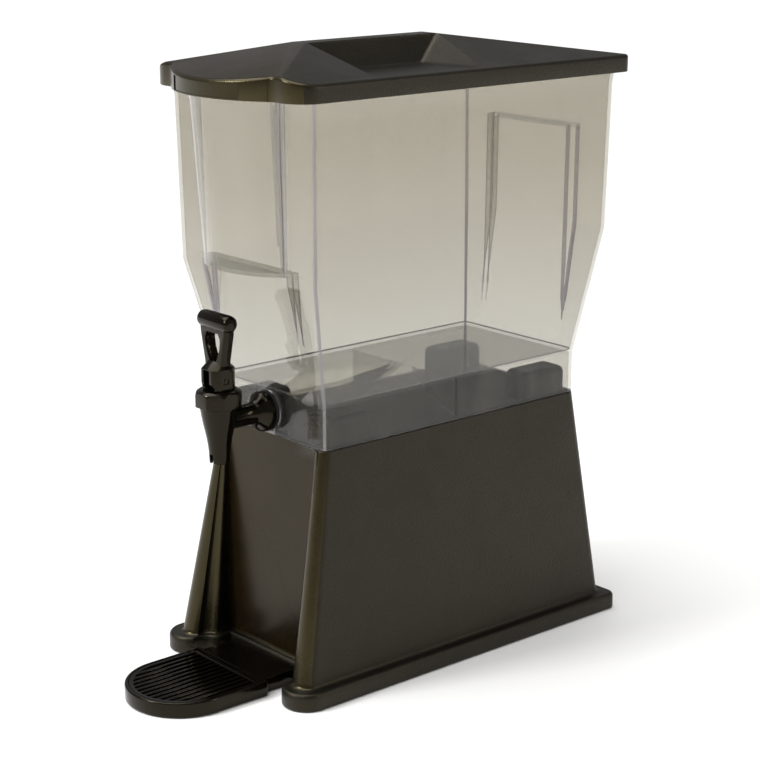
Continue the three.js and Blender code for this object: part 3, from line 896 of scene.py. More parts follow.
@dataclass
class Stand:
    """Hollow moulded stand with a low flange, two flared front arms and four locating pads.

    Attributes:
        drawing: Drawing that its sizes are on.
        finishes: Materials of the dispenser.
        wall: Thickness of its walls.
        deck_z: Height of the deck that the tank stands on.
        flange_top_z: Height of the flange's upper face.
        flange_under_z: Height of the hollow under the flange.
        lip_z: Height of the flange's lower lip, which the feet carry off the counter.
        slot: Half width and height of the slot for the tray's tongue.
        slot_reach: How far the slot's cut goes past the panel's foot, each way.
        pad_top_z: Height of the pads.
        pad_outer_x: X of the pads' outer faces.
        pads: Inner X, front and rear of the front and rear pads.
        pad_edge: Rounding of a pad's corners and top.
        pad_crown: How far the top rounding is squeezed inwards.
        flange: Outline of the flange.
        foot: Outline where the walls meet the flange.
        top: Outline of the deck.
        flange_edge: Height over the lip, and growth, of each ring of the flange's rounded edge.
        cove: Height over the flange, growth, and share of the wall, of each ring of the fillet at its foot.
        wall_shares: Where the rings of the walls lie between foot and deck.
        crown: Height over the deck, and growth, of each ring of the deck's rounded edge.
        arm_depth: How far behind an arm's centre its satin finish ends.
    """

    drawing: Drawing
    finishes: Finishes
    wall: float = 3.0
    deck_z: float = 198.8
    flange_top_z: float = 15.0
    flange_under_z: float = 12.0
    lip_z: float = 0.5
    slot: Point2 = (31.0, 9.3)
    slot_reach: float = 6.0
    pad_top_z: float = 222.5
    pad_outer_x: float = 65.5
    pads: tuple[Point3, Point3] = ((35.0, -124.0, -80.0), (38.0, 90.0, 138.0))
    pad_edge: float = 6.0
    pad_crown: float = 0.93
    flange: StandPlan = StandPlan(
        half=96.4,
        rear=STAND_REAR_Y,
        rear_radius=8,
        panel=(53, -137),
        bead=(61, -146, 10.5),
        flute=(62, -158),
        lobe=(76.4, -157.6, 20),
        lobe_from=215,
    )
    foot: StandPlan = StandPlan(
        half=86,
        rear=167,
        rear_radius=8,
        panel=(63, -131),
        bead=(61, -146, 4.5),
        flute=(66.5, -153),
        lobe=(74, -155, 12),
        lobe_from=215,
    )
    top: StandPlan = StandPlan(
        half=69.2,
        rear=146.2,
        rear_radius=8,
        panel=(57.2, -131),
        bead=(58.2, -131.5, 0.8),
        flute=(58, -132),
        lobe=(61.2, -124.5, 8),
        lobe_from=250,
    )
    flange_edge: tuple[Point2, ...] = (
        *((0.0, -1.2), (0.25, -0.5), (0.8, -0.1), (1.6, 0.0), (10.2, 0.0), (11.6, -0.2), (12.7, -0.6)),
        *((13.5, -1.2), (14.05, -1.9), (14.3, -2.7), (14.2, -3.5)),
    )
    cove: tuple[Point3, ...] = ((-0.3, 1.9, 0.0), (0.0, 1.1, 0.001), (0.0, 0.5, 0.004), (0.0, 0.15, 0.01))
    wall_shares: tuple[float, ...] = (0.02, 0.1, 0.25, 0.45, 0.65, 0.82, 0.94, 0.99)
    crown: tuple[Point2, ...] = ((-0.35, 0.0), (-0.1, -0.25), (0.0, -0.8))
    arm_depth: float = 34.0

    def outside(self) -> list[Ring]:
        """Rings from the lip up over the flange and the walls to the deck.

        Returns:
            The rings.
        """
        flange = [self.flange.ring(self.lip_z + z, grow) for z, grow in self.flange_edge]
        low = self.foot.ring(self.flange_top_z)
        high = self.top.ring(self.deck_z)
        cove = [between(self.foot.ring(self.flange_top_z + z, grow), high, t) for z, grow, t in self.cove]
        walls = [between(low, high, t) for t in self.wall_shares]
        return [*flange, *cove, *walls, *(self.top.ring(self.deck_z + z, grow) for z, grow in self.crown)]

    def inside(self) -> list[Ring]:
        """Rings from the ceiling under the deck down to the lip.

        Returns:
            The rings.
        """
        ceiling = self.top.ring(self.deck_z - self.wall, -self.wall)
        foot = self.foot.ring(self.flange_under_z, -self.wall)
        return [
            *(between(ceiling, foot, t) for t in (0, 0.25, 0.5, 0.75, 1)),
            self.flange.ring(self.flange_under_z, -self.wall),
            self.flange.ring(self.lip_z, -self.wall),
        ]

    def pad(self, plan: Point3, side: int) -> bpy.types.Object:
        """Locating pad with rounded corners and a soft top.

        Args:
            plan: Inner X, front and rear of the pad.
            side: -1 for the left one, 1 for the right one.

        Returns:
            The pad as a closed body.
        """
        inner, front, rear = plan
        middle, half = side * (inner + self.pad_outer_x) / 2, (self.pad_outer_x - inner) / 2
        edge = self.pad_edge
        levels = [(self.deck_z - 0.6, 0.0)]
        for inward, upward in arc((0.0, 0.0), 1.0, 0, 90, 6):
            levels.append((self.pad_top_z - edge * (1 - upward), edge * (1 - inward) * self.pad_crown))
        rings = []
        for z, inset in levels:
            radius = max(edge - inset, 0.5)
            x, low, high = half - inset - radius, front + inset + radius, rear - inset - radius
            corners = [((x, low), 270), ((x, high), 0), ((-x, high), 90), ((-x, low), 180)]
            ring = [p for centre, a in corners for p in arc(centre, radius, a, a + 90, 6)]
            rings.append([(px + middle, py, z) for px, py in ring])
        return self.drawing.loft("pad", rings)

    def build(self) -> bpy.types.Object:
        """Makes the stand.

        Returns:
            The finished piece.
        """
        shell = self.drawing.loft("stand_shell", [*self.inside(), *self.outside()])
        combine(shell, Boolean.ADD, *(self.pad(plan, side) for plan in self.pads for side in (-1, 1)))
        half, top = self.slot
        foot_y, reach = self.flange.panel[1], self.slot_reach
        mouth = self.drawing.block("mouth", (-half, half), (foot_y - reach, foot_y + reach), (-reach, top))
        combine(shell, Boolean.CUT, mouth)
        shade(shell, 34)
        self.dress(shell)
        return report(shell, "stand", Slot.GRAINED, "base")

    def dress(self, shell: bpy.types.Object) -> None:
        """Grained sides, satin arms whose lighter base is painted sheen, and a smooth front panel.

        Args:
            shell: Finished shell of the stand.
        """
        for finish in (self.finishes.grained, self.finishes.satin, self.finishes.panel):
            shell.data.materials.append(finish)
        front = self.drawing.to_row((0, self.foot.lobe[1] + self.arm_depth, 0)).y
        for face in shell.data.polygons:
            middle = face.center
            arm = middle.y < front and abs(face.normal.x) < 0.9 and middle.z > self.flange_top_z * MM
            flat = face.normal.y < -0.97 and abs(middle.x) < self.foot.panel[0] * MM
            face.material_index = 2 if arm and flat else int(arm)
        for side in ("left", "right"):
            for end in ("front", "rear"):
                dress_node(f"foot_{end}_{side}", self.finishes.rubber)


# ---------------------------------------------------------------- reservoir


@dataclass(frozen=True)
class BoxPlan:
    """Rectangle with rounded corners.

    Attributes:
        half: Half width.
        front: Y of its front.
        rear: Y of its rear.
        radius: Radius of its corners.
    """

    half: float
    front: float
    rear: float
    radius: float

    def mix(self, other: "BoxPlan", t: float) -> "BoxPlan":
        """Plan part of the way to another."""
        return BoxPlan(*(lerp(a, b, t) for a, b in zip(self.values(), other.values())))

    def inset(self, d: float) -> "BoxPlan":
        """Plan with its walls moved inwards."""
        return BoxPlan(self.half - d, self.front + d, self.rear - d, max(self.radius - d, 1.0))

    def values(self) -> tuple[float, float, float, float]:
        """The four sizes."""
        return self.half, self.front, self.rear, self.radius


@dataclass
class Reservoir:
    """Clear tank: a skirt round the stand's pads, a taper, a fold, and a bowed front above a ledge.

    Attributes:
        drawing: Drawing that its sizes are on.
        finishes: Materials of the dispenser.
        wall: Thickness of its walls.
        skirt_z: Height of the skirt's lower edge.
        floor_under_z: Height of the floor's lower face.
        floor_z: Height of the floor's upper face.
        taper_z: Height that the walls begin to lean at.
        fold_z: Height of the fold in front and behind.
        top_z: Height of the rim.
        floor: Outline at the floor.
        fold: Outline at the fold.
        top: Outline at the rim.
        ledge_z: Height of the ledge under the bow.
        bow_low: Half width, Y of its ends and Y of its middle, of the bow at the ledge.
        bow_high: The same at the rim.
        front_grip: Half width of the front finger recess, and height and Y of its lower and upper end.
        rear_grip: The same for the rear one.
        flare_z: Heights between which the rim swells outwards.
        flare: How far it swells.
        boss: Radius, front Y and height of the faucet's boss.
        bore: Radius of the hole for the faucet's shank.
        sump: Half width, Y of its widest part, Y of its rear tip and slope of the sump.
        gusset: Outline of a web under the floor.
        gusset_y: Front and rear face of the webs.
        step_radius: Rounding of the steps beside the recesses and the bow.
        step_share: Most of a step's depth that one of its roundings takes.
        taper_shares: Where the rings below the fold lie.
        rim_shares: Where the rings near the rim lie.
        bend_angle: Edges that turn by more than this, in degrees, give the narrow faces beside them painted
            shade.
        corner_angle: The same for faces that look diagonally.
        diagonal: How diagonally a face looks from where corner_angle holds.
        bend_width: Faces narrower than this take the painted shade.
    """

    drawing: Drawing
    finishes: Finishes
    wall: float = 2.8
    skirt_z: float = 199.1
    floor_under_z: float = 233.2
    floor_z: float = 236.2
    taper_z: float = 233.5
    fold_z: Point2 = (331.5, 342.0)
    top_z: float = 481.0
    floor: BoxPlan = BoxPlan(69.2, -132.5, 146.2, 8)
    fold: BoxPlan = BoxPlan(87.4, -155.2, 163.3, 10)
    top: BoxPlan = BoxPlan(90.6, -157.6, 165.1, 10)
    ledge_z: float = 337.0
    bow_low: Point3 = (52.0, -154.6, -176.0)
    bow_high: Point3 = (53.5, -162.5, -188.0)
    front_grip: tuple[float, Point2, Point2] = (52.0, (270.0, -141.2), (337.0, -146.0))
    rear_grip: tuple[float, Point2, Point2] = (47.0, (258.0, 150.4), (423.0, 153.0))
    flare_z: Point2 = (461.0, 474.0)
    flare: float = 1.1
    boss: Point3 = (17.2, -134.5, 219.0)
    bore: float = 9.2
    sump: tuple[float, float, float, float] = (18.0, -72.0, 4.0, 0.2232)
    gusset: tuple[Point2, ...] = ((68.2, 199.6), (30.0, 214.0), (12.0, 234.2), (68.2, 234.2))
    gusset_y: Point2 = (7.75, 10.25)
    step_radius: float = 2.6
    step_share: float = 0.45
    taper_shares: tuple[float, ...] = (0.02, 0.1, 0.2258, 0.3, 0.3724, 0.5, 0.65, 0.8, 0.92, 0.965, 0.99)
    rim_shares: tuple[float, ...] = (0.7, 0.8, 0.87, 0.89, 0.91, 0.93, 0.945, 0.96, 0.98)
    bend_angle: float = 11.0
    corner_angle: float = 7.0
    diagonal: float = 0.45
    bend_width: float = 3.2

    def step(self, x: float, y_in: float, y_out: float) -> list[Point2]:
        """S-shaped step from the middle part's face to the wall beside it, at width x.

        Args:
            x: Width that the step lies at.
            y_in: Y of the middle part's face.
            y_out: Y of the wall.

        Returns:
            Points from the middle outwards.
        """
        reach, radius = y_out - y_in, self.step_radius
        half = math.copysign(min(radius, self.step_share * abs(reach)), reach)
        first = bend((x - radius, y_in), (x, y_in), (x - 0.1, y_in + half), 4, True)
        second = bend((x + 0.1, y_out - half), (x, y_out), (x + radius, y_out), 4, True)
        return [*first, *second]

    def section(
        self, plan: BoxPlan, front: tuple[float, Callable[[float], float]], rear: tuple[float, float]
    ) -> list[Point2]:
        """Right half of the outline.

        Args:
            plan: The plain tapered body.
            front: Half width of the middle part in front, and its Y at a given x.
            rear: Half width and Y of the middle part behind.

        Returns:
            Points from front to rear.
        """
        half_front, face = front
        half_rear, rear_y = rear
        radius = self.step_radius
        inner = half_front - radius
        middle = [(inner * i / 14, face(inner * i / 14)) for i in range(14)]
        shoulder = plan.half - plan.radius
        front_corner = arc((shoulder, plan.front + plan.radius), plan.radius, 270, 360, 10)
        rear_corner = arc((shoulder, plan.rear - plan.radius), plan.radius, 0, 90, 10)
        side = [(plan.half, lerp(plan.front, plan.rear, t)) for t in (0.25, 0.5, 0.75)]
        front_step = self.step(half_front, face(inner), plan.front)
        corner_y = face(half_front)
        if abs(corner_y - face(inner)) > 0.2:
            end = (half_front, corner_y + self.step_share * (plan.front - corner_y))
            front_step[:5] = bend((inner, face(inner)), (half_front, corner_y), end, 4, True)
        back = [(half_rear - radius) * (1 - i / 6) for i in range(1, 7)]
        rear_step = reversed(self.step(half_rear, rear_y, plan.rear))
        flat = ((x, rear_y) for x in back)
        return [*middle, *front_step, *front_corner, *side, *rear_corner, *rear_step, *flat]

    def bow_at(self, z: float, inset: float) -> tuple[float, Callable[[float], float]]:
        """Half width of the bow at a height, and its Y at a given x.

        Args:
            z: Height on the tank.
            inset: How far inside the outer face.

        Returns:
            The half width, and the function that gives Y.
        """
        share = (z - self.ledge_z) / (self.top_z - self.ledge_z)
        kink, kink_y, apex = (lerp(a, b, share) for a, b in zip(self.bow_low, self.bow_high))
        kink, apex = kink - inset, apex + inset
        sag = kink_y - apex
        radius = (kink * kink + sag * sag) / (2 * sag)
        return kink, lambda x: apex + radius - math.sqrt(radius * radius - x * x)

    def grip_y(self, grip: tuple[float, Point2, Point2], z: float) -> float:
        """Y of a grip's back at a height."""
        _, (low_z, low_y), (high_z, high_y) = grip
        return lerp(low_y, high_y, (z - low_z) / (high_z - low_z))

    def row(self, part: Part, share: float, inset: float, bow: bool, rear_open: bool) -> Ring:
        """One ring of the tank.

        Args:
            part: Part of the wall.
            share: Place between the part's lower and upper end.
            inset: How far inside the outer face it lies.
            bow: True if the bow stands out in front.
            rear_open: True if the rear grip has ended.

        Returns:
            The ring.
        """
        below = part is Part.TAPER
        low, high = (self.floor, self.fold) if below else (self.fold, self.top)
        z_low = (self.taper_z, self.taper_z) if below else self.fold_z
        z_high = self.fold_z if below else (self.top_z, self.top_z)
        z_front, z_rear = (lerp(a, b, share) for a, b in zip(z_low, z_high))
        swell = self.flare * smooth((z_front - self.flare_z[0]) / (self.flare_z[1] - self.flare_z[0]))
        plan = low.mix(high, share).inset(inset - swell)
        if bow:
            front = self.bow_at(z_front, inset - swell)
        else:
            depth = max(plan.front, self.grip_y(self.front_grip, z_front) + inset)
            front = (self.front_grip[0] + inset, lambda x: depth)
        rear_y = plan.rear
        if not rear_open:
            rear_y = min(rear_y, self.grip_y(self.rear_grip, z_rear) - inset)

        def height(x: float, y: float) -> float:
            """Height of the ring, which climbs from front to rear along the fold."""
            t = min(max((y - plan.front) / (plan.rear - plan.front), 0.0), 1.0)
            return lerp(z_front, z_rear, t)

        return mirrored(self.section(plan, front, (self.rear_grip[0] + inset, rear_y)), height)

    def plain(self, z: float, inset: float) -> Ring:
        """Ring of the upright skirt.

        Args:
            z: Height of the ring.
            inset: How far inside the outer face.

        Returns:
            The ring.
        """
        plan = self.floor.inset(inset)
        front = (self.front_grip[0], lambda x: plan.front)
        return mirrored(self.section(plan, front, (self.rear_grip[0], plan.rear)), z)

    def wall_rows(self, inset: float) -> list[Ring]:
        """Rings of one face of the wall, from the floor up to the rim.

        Args:
            inset: How far inside the outer face.

        Returns:
            The rings.
        """
        ledge = (self.ledge_z + inset - self.fold_z[0]) / (self.top_z - self.fold_z[0])
        shut = (self.rear_grip[2][0] + inset - self.fold_z[1]) / (self.top_z - self.fold_z[1])
        just = 0.002
        rows = [self.row(Part.TAPER, t, inset, False, False) for t in self.taper_shares]
        rows += [self.row(Part.TRUNK, t, inset, False, False) for t in (0.004, 0.015, ledge)]
        bowed = (ledge + just, 0.08, 0.2, 0.35, 0.5, shut)
        rows += [self.row(Part.TRUNK, t, inset, True, False) for t in bowed]
        return rows + [self.row(Part.TRUNK, t, inset, True, True) for t in (shut + just, *self.rim_shares)]

    def build(self) -> bpy.types.Object:
        """Makes the tank.

        Returns:
            The finished piece.
        """
        lip = [(self.skirt_z, self.wall - 0.5), (self.skirt_z, 0.5), (self.skirt_z + 0.5, 0.0)]
        skirt = [self.plain(self.floor_under_z, self.wall), self.plain(self.skirt_z + 0.5, self.wall)]
        skirt += [self.plain(z, inset) for z, inset in lip]
        skirt += [self.plain(self.taper_z - 1.2, 0.0), self.plain(self.taper_z - 0.2, -0.1)]
        outer = self.wall_rows(0.0)
        inner = self.wall_rows(self.wall)
        rim = [self.row(Part.TRUNK, 1.0, inset, True, True) for inset in (0.5, self.wall - 0.5)]
        floor = [self.plain(self.floor_z + 0.8, self.wall - 0.2), self.plain(self.floor_z, self.wall + 0.8)]
        shell = self.drawing.loft("reservoir_shell", [*skirt, *outer, *rim, *reversed(inner), *floor])
        self.fit_out(shell)
        shade(shell, 28)
        self.dress(shell)
        return report(shell, "tank", Slot.CLEAR, "reservoir")

    def dress(self, shell: bpy.types.Object) -> None:
        """Clear walls, a scuffed skirt, and a darker finish on every face of a tight bend or an edge, which
        is painted shade for the dark lines that refraction draws there.

        Args:
            shell: Finished shell of the tank.
        """
        for finish in (self.finishes.clear, self.finishes.clear_bend_shade, self.finishes.clear_scuffed):
            shell.data.materials.append(finish)
        shape = bmesh.new()
        shape.from_mesh(shell.data)
        narrow = self.bend_width * MM
        for face in shape.faces:
            diagonal = abs(face.normal.x * face.normal.y) > self.diagonal
            least = math.radians(self.corner_angle if diagonal else self.bend_angle)
            turned = [e for e in face.edges if e.is_manifold and e.calc_face_angle(0) > least]
            width = min((face.calc_area() / max(e.calc_length(), 1e-9) for e in turned), default=1.0)
            in_skirt = face.calc_center_median().z < self.floor_under_z * MM
            # Narrow faces at bends and edges take the darker bend finish: painted shade.
            face.material_index = 1 if width < narrow else 2 * int(in_skirt)
        shape.to_mesh(shell.data)
        shape.free()

    def fit_out(self, shell: bpy.types.Object) -> None:
        """Adds the faucet boss, the sump and the webs under the floor, and cuts their hollows.

        Args:
            shell: Shell of the tank.
        """
        radius, face_y, boss_z = self.boss
        inside_y = self.floor.front + self.wall
        depth, edge = inside_y - face_y, 0.6
        profile = [(0, 0), (radius - edge, 0), (radius, edge), (radius, depth), (0, depth)]
        boss = self.drawing.turned("boss", profile, (0, face_y, boss_z), Axis.BACK)
        half, square_y, apex_y, slope = self.sump

        def wedge(grow: float, top_z: float) -> bpy.types.Object:
            """Sump with a sloping floor, grown outwards by some millimetres."""
            front = self.floor.front + self.wall - grow / 2
            right = [(half + grow, front), (half + grow, square_y + grow / 3), (0.4, apex_y + grow * 2)]
            fall = mirrored(right, lambda x, y: self.floor_under_z - slope * (apex_y - y) - grow)
            return self.drawing.loft("wedge", [fall, mirrored(right, top_z)])

        right = self.drawing.web("gusset", self.gusset, self.gusset_y)
        left = self.drawing.web("gusset", [(-x, z) for x, z in reversed(self.gusset)], self.gusset_y)
        combine(shell, Boolean.ADD, boss, wedge(self.wall, self.floor_under_z + 1), right, left)
        hole = [(0, -6), (self.bore, -6), (self.bore, 12), (0, 12)]
        bore = self.drawing.turned("bore", hole, (0, face_y, boss_z), Axis.BACK)
        combine(shell, Boolean.CUT, wedge(0.0, self.floor_z + 6), bore)


# ---------------------------------------------------------------- lid


@dataclass(frozen=True)
class LidPlan:
    """Outline of the lid at one height: a bowed front, a hollow shoulder, rounded front corners.

    Attributes:
        half: Half width.
        front: Y of the front beside the bow.
        rear: Y of the rear face.
        front_radius: Radius of the front corners.
        rear_radius: Radius of the rear corners.
        kink: Where the bow's arc ends.
        apex: Y of the bow's middle.
        shoulder_share: Where the hollow beside the bow ends, between the corner and the kink.
        lean: How near the kink the hollow's lowest point lies.
    """

    half: float
    front: float
    rear: float
    front_radius: float
    rear_radius: float
    kink: Point2
    apex: float
    shoulder_share: float = 0.35
    lean: float = 0.1

    def ring(self, z: float | Callable[[float, float], float], inset: float) -> Ring:
        """Outline at a height, moved inwards by some millimetres.

        Args:
            z: Height, or a function of x and y that gives it.
            inset: How far inwards it is moved.

        Returns:
            The ring.
        """
        front_r, rear_r = max(self.front_radius - inset, 0.4), max(self.rear_radius - inset, 0.4)
        front = self.front + inset
        side = self.half - inset
        corner = arc((side - front_r, front + front_r), front_r, 270, 360, 14)
        x, y = self.kink[0] - inset, self.kink[1] + inset
        sag = self.kink[1] - self.apex
        radius = (x * x + sag * sag) / (2 * sag)
        across = [x * i / 16 for i in range(17)]
        bow = [(w, self.apex + inset + radius - math.sqrt(radius * radius - w * w)) for w in across]
        shoulder = (lerp(corner[0][0], x, self.shoulder_share), front)
        hollow = bend((x, y), (x + self.lean * (corner[0][0] - x), front), shoulder, 8)
        rear = arc((side - rear_r, self.rear - inset - rear_r), rear_r, 0, 90, 10)
        return mirrored([*bow, *hollow, shoulder, *corner, *rear], z)


@dataclass(frozen=True)
class Roof:
    """Four planes that fall from a flat ridge.

    Attributes:
        top: Height of the ridge.
        half: Half width of the ridge.
        front: Y of the ridge's front end.
        rear: Y of the ridge's rear end.
        slopes: Fall per millimetre towards the sides, the front and the rear.
    """

    top: float
    half: float
    front: float
    rear: float
    slopes: Point3

    def z(self, x: float, y: float) -> float:
        """Height of the roof at a point.

        Args:
            x: X on the drawing.
            y: Y on the drawing.

        Returns:
            The height.
        """
        side, fore, aft = self.slopes
        falls = side * (abs(x) - self.half), fore * (self.front - y), aft * (y - self.rear)
        return self.top - max(*falls, 0.0)

    def body(self, drawing: Drawing, drop: float, soft: float) -> bpy.types.Object:
        """Everything under the roof.

        Args:
            drawing: Drawing that the roof is on.
            drop: How far below the roof its planes lie.
            soft: Rounding of its ridge and hips in millimetres; 0 leaves them sharp.

        Returns:
            A body far wider than the lid.
        """
        side, fore, aft = self.slopes

        def ring(down: float) -> Ring:
            """Outline of the roof at some depth under its ridge."""
            half = self.half + down / side
            right = [(half, self.front - down / fore), (half, self.rear + down / aft)]
            return mirrored(right, self.top - drop - down)

        made = drawing.loft("roof", [ring(45.0), ring(0.0)])
        return round_edges(made, soft, 4, 4) if soft else made


@dataclass
class Lid:
    """Loose hipped lid with a finger pocket in each slope and a plain plate on its bowed front band.

    Attributes:
        drawing: Drawing that its sizes are on.
        finishes: Materials of the dispenser.
        wall: Thickness of its walls.
        rim_z: Height of its lower edge.
        ceiling_z: Height of the face that rests on the tank's rim.
        seat: How far that face reaches inwards from the outline.
        rim: Its outline.
        roof: Its four planes.
        edge_radius: Rounding where the roof meets the band.
        rim_edge: Height and inset of each ring of the lower edge.
        ridge_radius: Rounding of the ridge and the hips.
        pocket_floor: Height of a pocket's floor at its inner end, and its rise towards the side.
        pocket_x: Inner X of a pocket at its floor and at the roof.
        pocket_front: Y of a pocket's front wall.
        pocket_rear: Y of its sloping rear wall at the floor and at the roof.
        pocket_fillet: Rounding inside a pocket.
        pocket_lip: Rounding where a pocket breaks the roof.
        lip_box: Y range, and X range, that the pockets' lips lie in.
        plate: Half width, lower edge, gap under the roof and depth of the plain plate.
        forward: How far a face must look forwards, and at most sideways, to take the smooth finishes.
    """

    drawing: Drawing
    finishes: Finishes
    wall: float = 2.2
    rim_z: float = 471.9
    ceiling_z: float = 481.3
    seat: float = 6.0
    rim: LidPlan = LidPlan(94.2, -173.5, 177.3, 22, 8, (60.5, -176.3), -196)
    roof: Roof = Roof(506.0, 8.0, -98.0, 35.0, (0.2381, 0.205, 0.1429))
    edge_radius: float = 2.4
    rim_edge: tuple[Point2, ...] = ((0.0, 0.6), (0.3, 0.15), (0.9, 0.0))
    ridge_radius: float = 1.6
    pocket_floor: Point2 = (484.2, 2.1)
    pocket_x: Point2 = (20.0, 7.5)
    pocket_front: float = -97.0
    pocket_rear: Point2 = (10.0, 38.0)
    pocket_fillet: float = 4.0
    pocket_lip: float = 1.4
    lip_box: tuple[Point2, Point2] = ((-99.0, 40.0), (5.0, 88.0))
    plate: tuple[float, float, float, float] = (40.0, 473.0, 3.0, 0.7)
    forward: Point2 = (0.12, 0.75)

    def under(self, drop: float) -> Callable[[float, float], float]:
        """Height function of the roof lowered by some millimetres."""
        return lambda x, y: self.roof.z(x, y) - drop

    def outside(self) -> bpy.types.Object:
        """Bow-front body with a rounded rim under the four roof planes.

        Returns:
            The closed body, before its pockets and its hollow are cut.
        """
        rings = [self.rim.ring(self.rim_z + z, inset) for z, inset in self.rim_edge]
        for inward, upward in arc((0.0, 0.0), 1.0, 0, 90, 6):
            drop, inset = self.edge_radius * (1 - upward), self.edge_radius * (1 - inward)
            rings.append(self.rim.ring(self.under(drop), inset))
        past = 0.2
        rings.append(self.rim.ring(self.under(-past), self.edge_radius + past))
        rings.append(self.rim.ring(self.roof.top + 1, self.edge_radius + past))
        prism = self.drawing.loft("lid_shell", rings)
        return combine(prism, Boolean.KEEP, self.roof.body(self.drawing, 0.0, self.ridge_radius))

    def hollow(self) -> bpy.types.Object:
        """Space under the roof, around the pockets.

        Returns:
            The space as a body.
        """
        levels = (self.rim_z - 6, self.ceiling_z)
        low = self.drawing.loft("hollow", [self.rim.ring(z, self.wall) for z in levels])
        levels = (self.ceiling_z - 1, self.roof.top)
        high = self.drawing.loft("loft", [self.rim.ring(z, self.seat) for z in levels])
        combine(high, Boolean.KEEP, self.roof.body(self.drawing, self.wall + 0.2, 0.0))
        combine(high, Boolean.CUT, *(self.pocket(side, self.wall + 0.4) for side in (-1, 1)))
        return combine(low, Boolean.ADD, high)

    def pocket(self, side: int, grow: float) -> bpy.types.Object:
        """Space over one finger pocket, whose floor rises a little towards the rim.

        Args:
            side: -1 for the left one, 1 for the right one.
            grow: How much larger it is than the pocket, to leave a wall; 0 also rounds its corners.

        Returns:
            The space as a body.
        """
        outer = self.rim.half + 6
        floor_z, rise = self.pocket_floor

        def ring(inner: float, rear: float, level: float | None) -> Ring:
            """Outline of the space at a level, or along the pocket's floor where the level is None."""
            front, back, near = self.pocket_front - grow, rear + grow, inner - grow
            made = []
            for x, y in ((near, front), (outer, front), (outer, back), (near, back)):
                low = floor_z - grow + rise * (x - self.pocket_x[0]) / (self.rim.half - self.pocket_x[0])
                made.append((side * x, y, low if level is None else level))
            return made if side > 0 else list(reversed(made))

        levels = [
            ring(self.pocket_x[0], self.pocket_rear[0], None),
            ring(self.pocket_x[1], self.pocket_rear[1], self.roof.top),
            ring(self.pocket_x[1], self.pocket_rear[1], self.roof.top + 6),
        ]
        made = self.drawing.loft("pocket", levels)
        if grow:
            return made
        limit = (self.rim.half + 5) * MM
        return round_edges(made, self.pocket_fillet, 5, 20, lambda middle: abs(middle.x) < limit)

    def on_lip(self, middle: Vector) -> bool:
        """True for an edge where a pocket breaks the roof.

        Args:
            middle: The edge's middle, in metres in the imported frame.

        Returns:
            Whether the edge is rounded.
        """
        x, y, z = middle.x / MM, middle.y / MM - self.drawing.shift_y, middle.z / MM
        (front, rear), (near, far) = self.lip_box
        return front < y < rear and abs(z - self.roof.z(x, y)) < 0.5 and near < abs(x) < far

    def build(self) -> bpy.types.Object:
        """Makes the lid.

        Returns:
            The finished piece.
        """
        shell = self.outside()
        combine(shell, Boolean.CUT, self.pocket(-1, 0), self.pocket(1, 0))
        round_edges(shell, self.pocket_lip, 4, 20, self.on_lip)
        combine(shell, Boolean.CUT, self.hollow(), self.band())
        shade(shell, 30)
        self.dress(shell)
        return report(shell, "lid", Slot.GRAINED, "lid")

    def band(self) -> bpy.types.Object:
        """Shallow space in front of the plain plate.

        Returns:
            The space as a body.
        """
        half, low_z, under, depth = self.plate

        def skin(name: str, inset: float, over: float) -> bpy.types.Object:
            """Band between the plate's edges, moved inwards and grown up and down."""
            top = self.rim.ring(self.under(under - over), inset)
            return self.drawing.loft(name, [self.rim.ring(low_z - over, inset), top])

        past = 6.0
        outer = combine(skin("band", -1.0, 0.0), Boolean.CUT, skin("core", depth, past))
        y, z = (self.rim.apex - past, self.rim.front + past), (self.rim_z, self.roof.top)
        return combine(outer, Boolean.KEEP, self.drawing.block("span", (-half, half), y, z))

    def dress(self, shell: bpy.types.Object) -> None:
        """Grained slopes and sides, a satin bow band whose lighter base is painted sheen, and a smooth front
        slope.

        Args:
            shell: Finished shell of the lid.
        """
        for finish in (self.finishes.grained, self.finishes.satin, self.finishes.panel):
            shell.data.materials.append(finish)
        front = self.drawing.to_row((0, self.roof.front + 0.5, 0)).y
        least, sideways = self.forward
        for face in shell.data.polygons:
            normal = face.normal
            forward = face.center.y < front and normal.y < -least and abs(normal.x) < sideways
            face.material_index = 2 if forward and normal.z > 0.8 else int(forward)


# ---------------------------------------------------------------- drip tray and grate


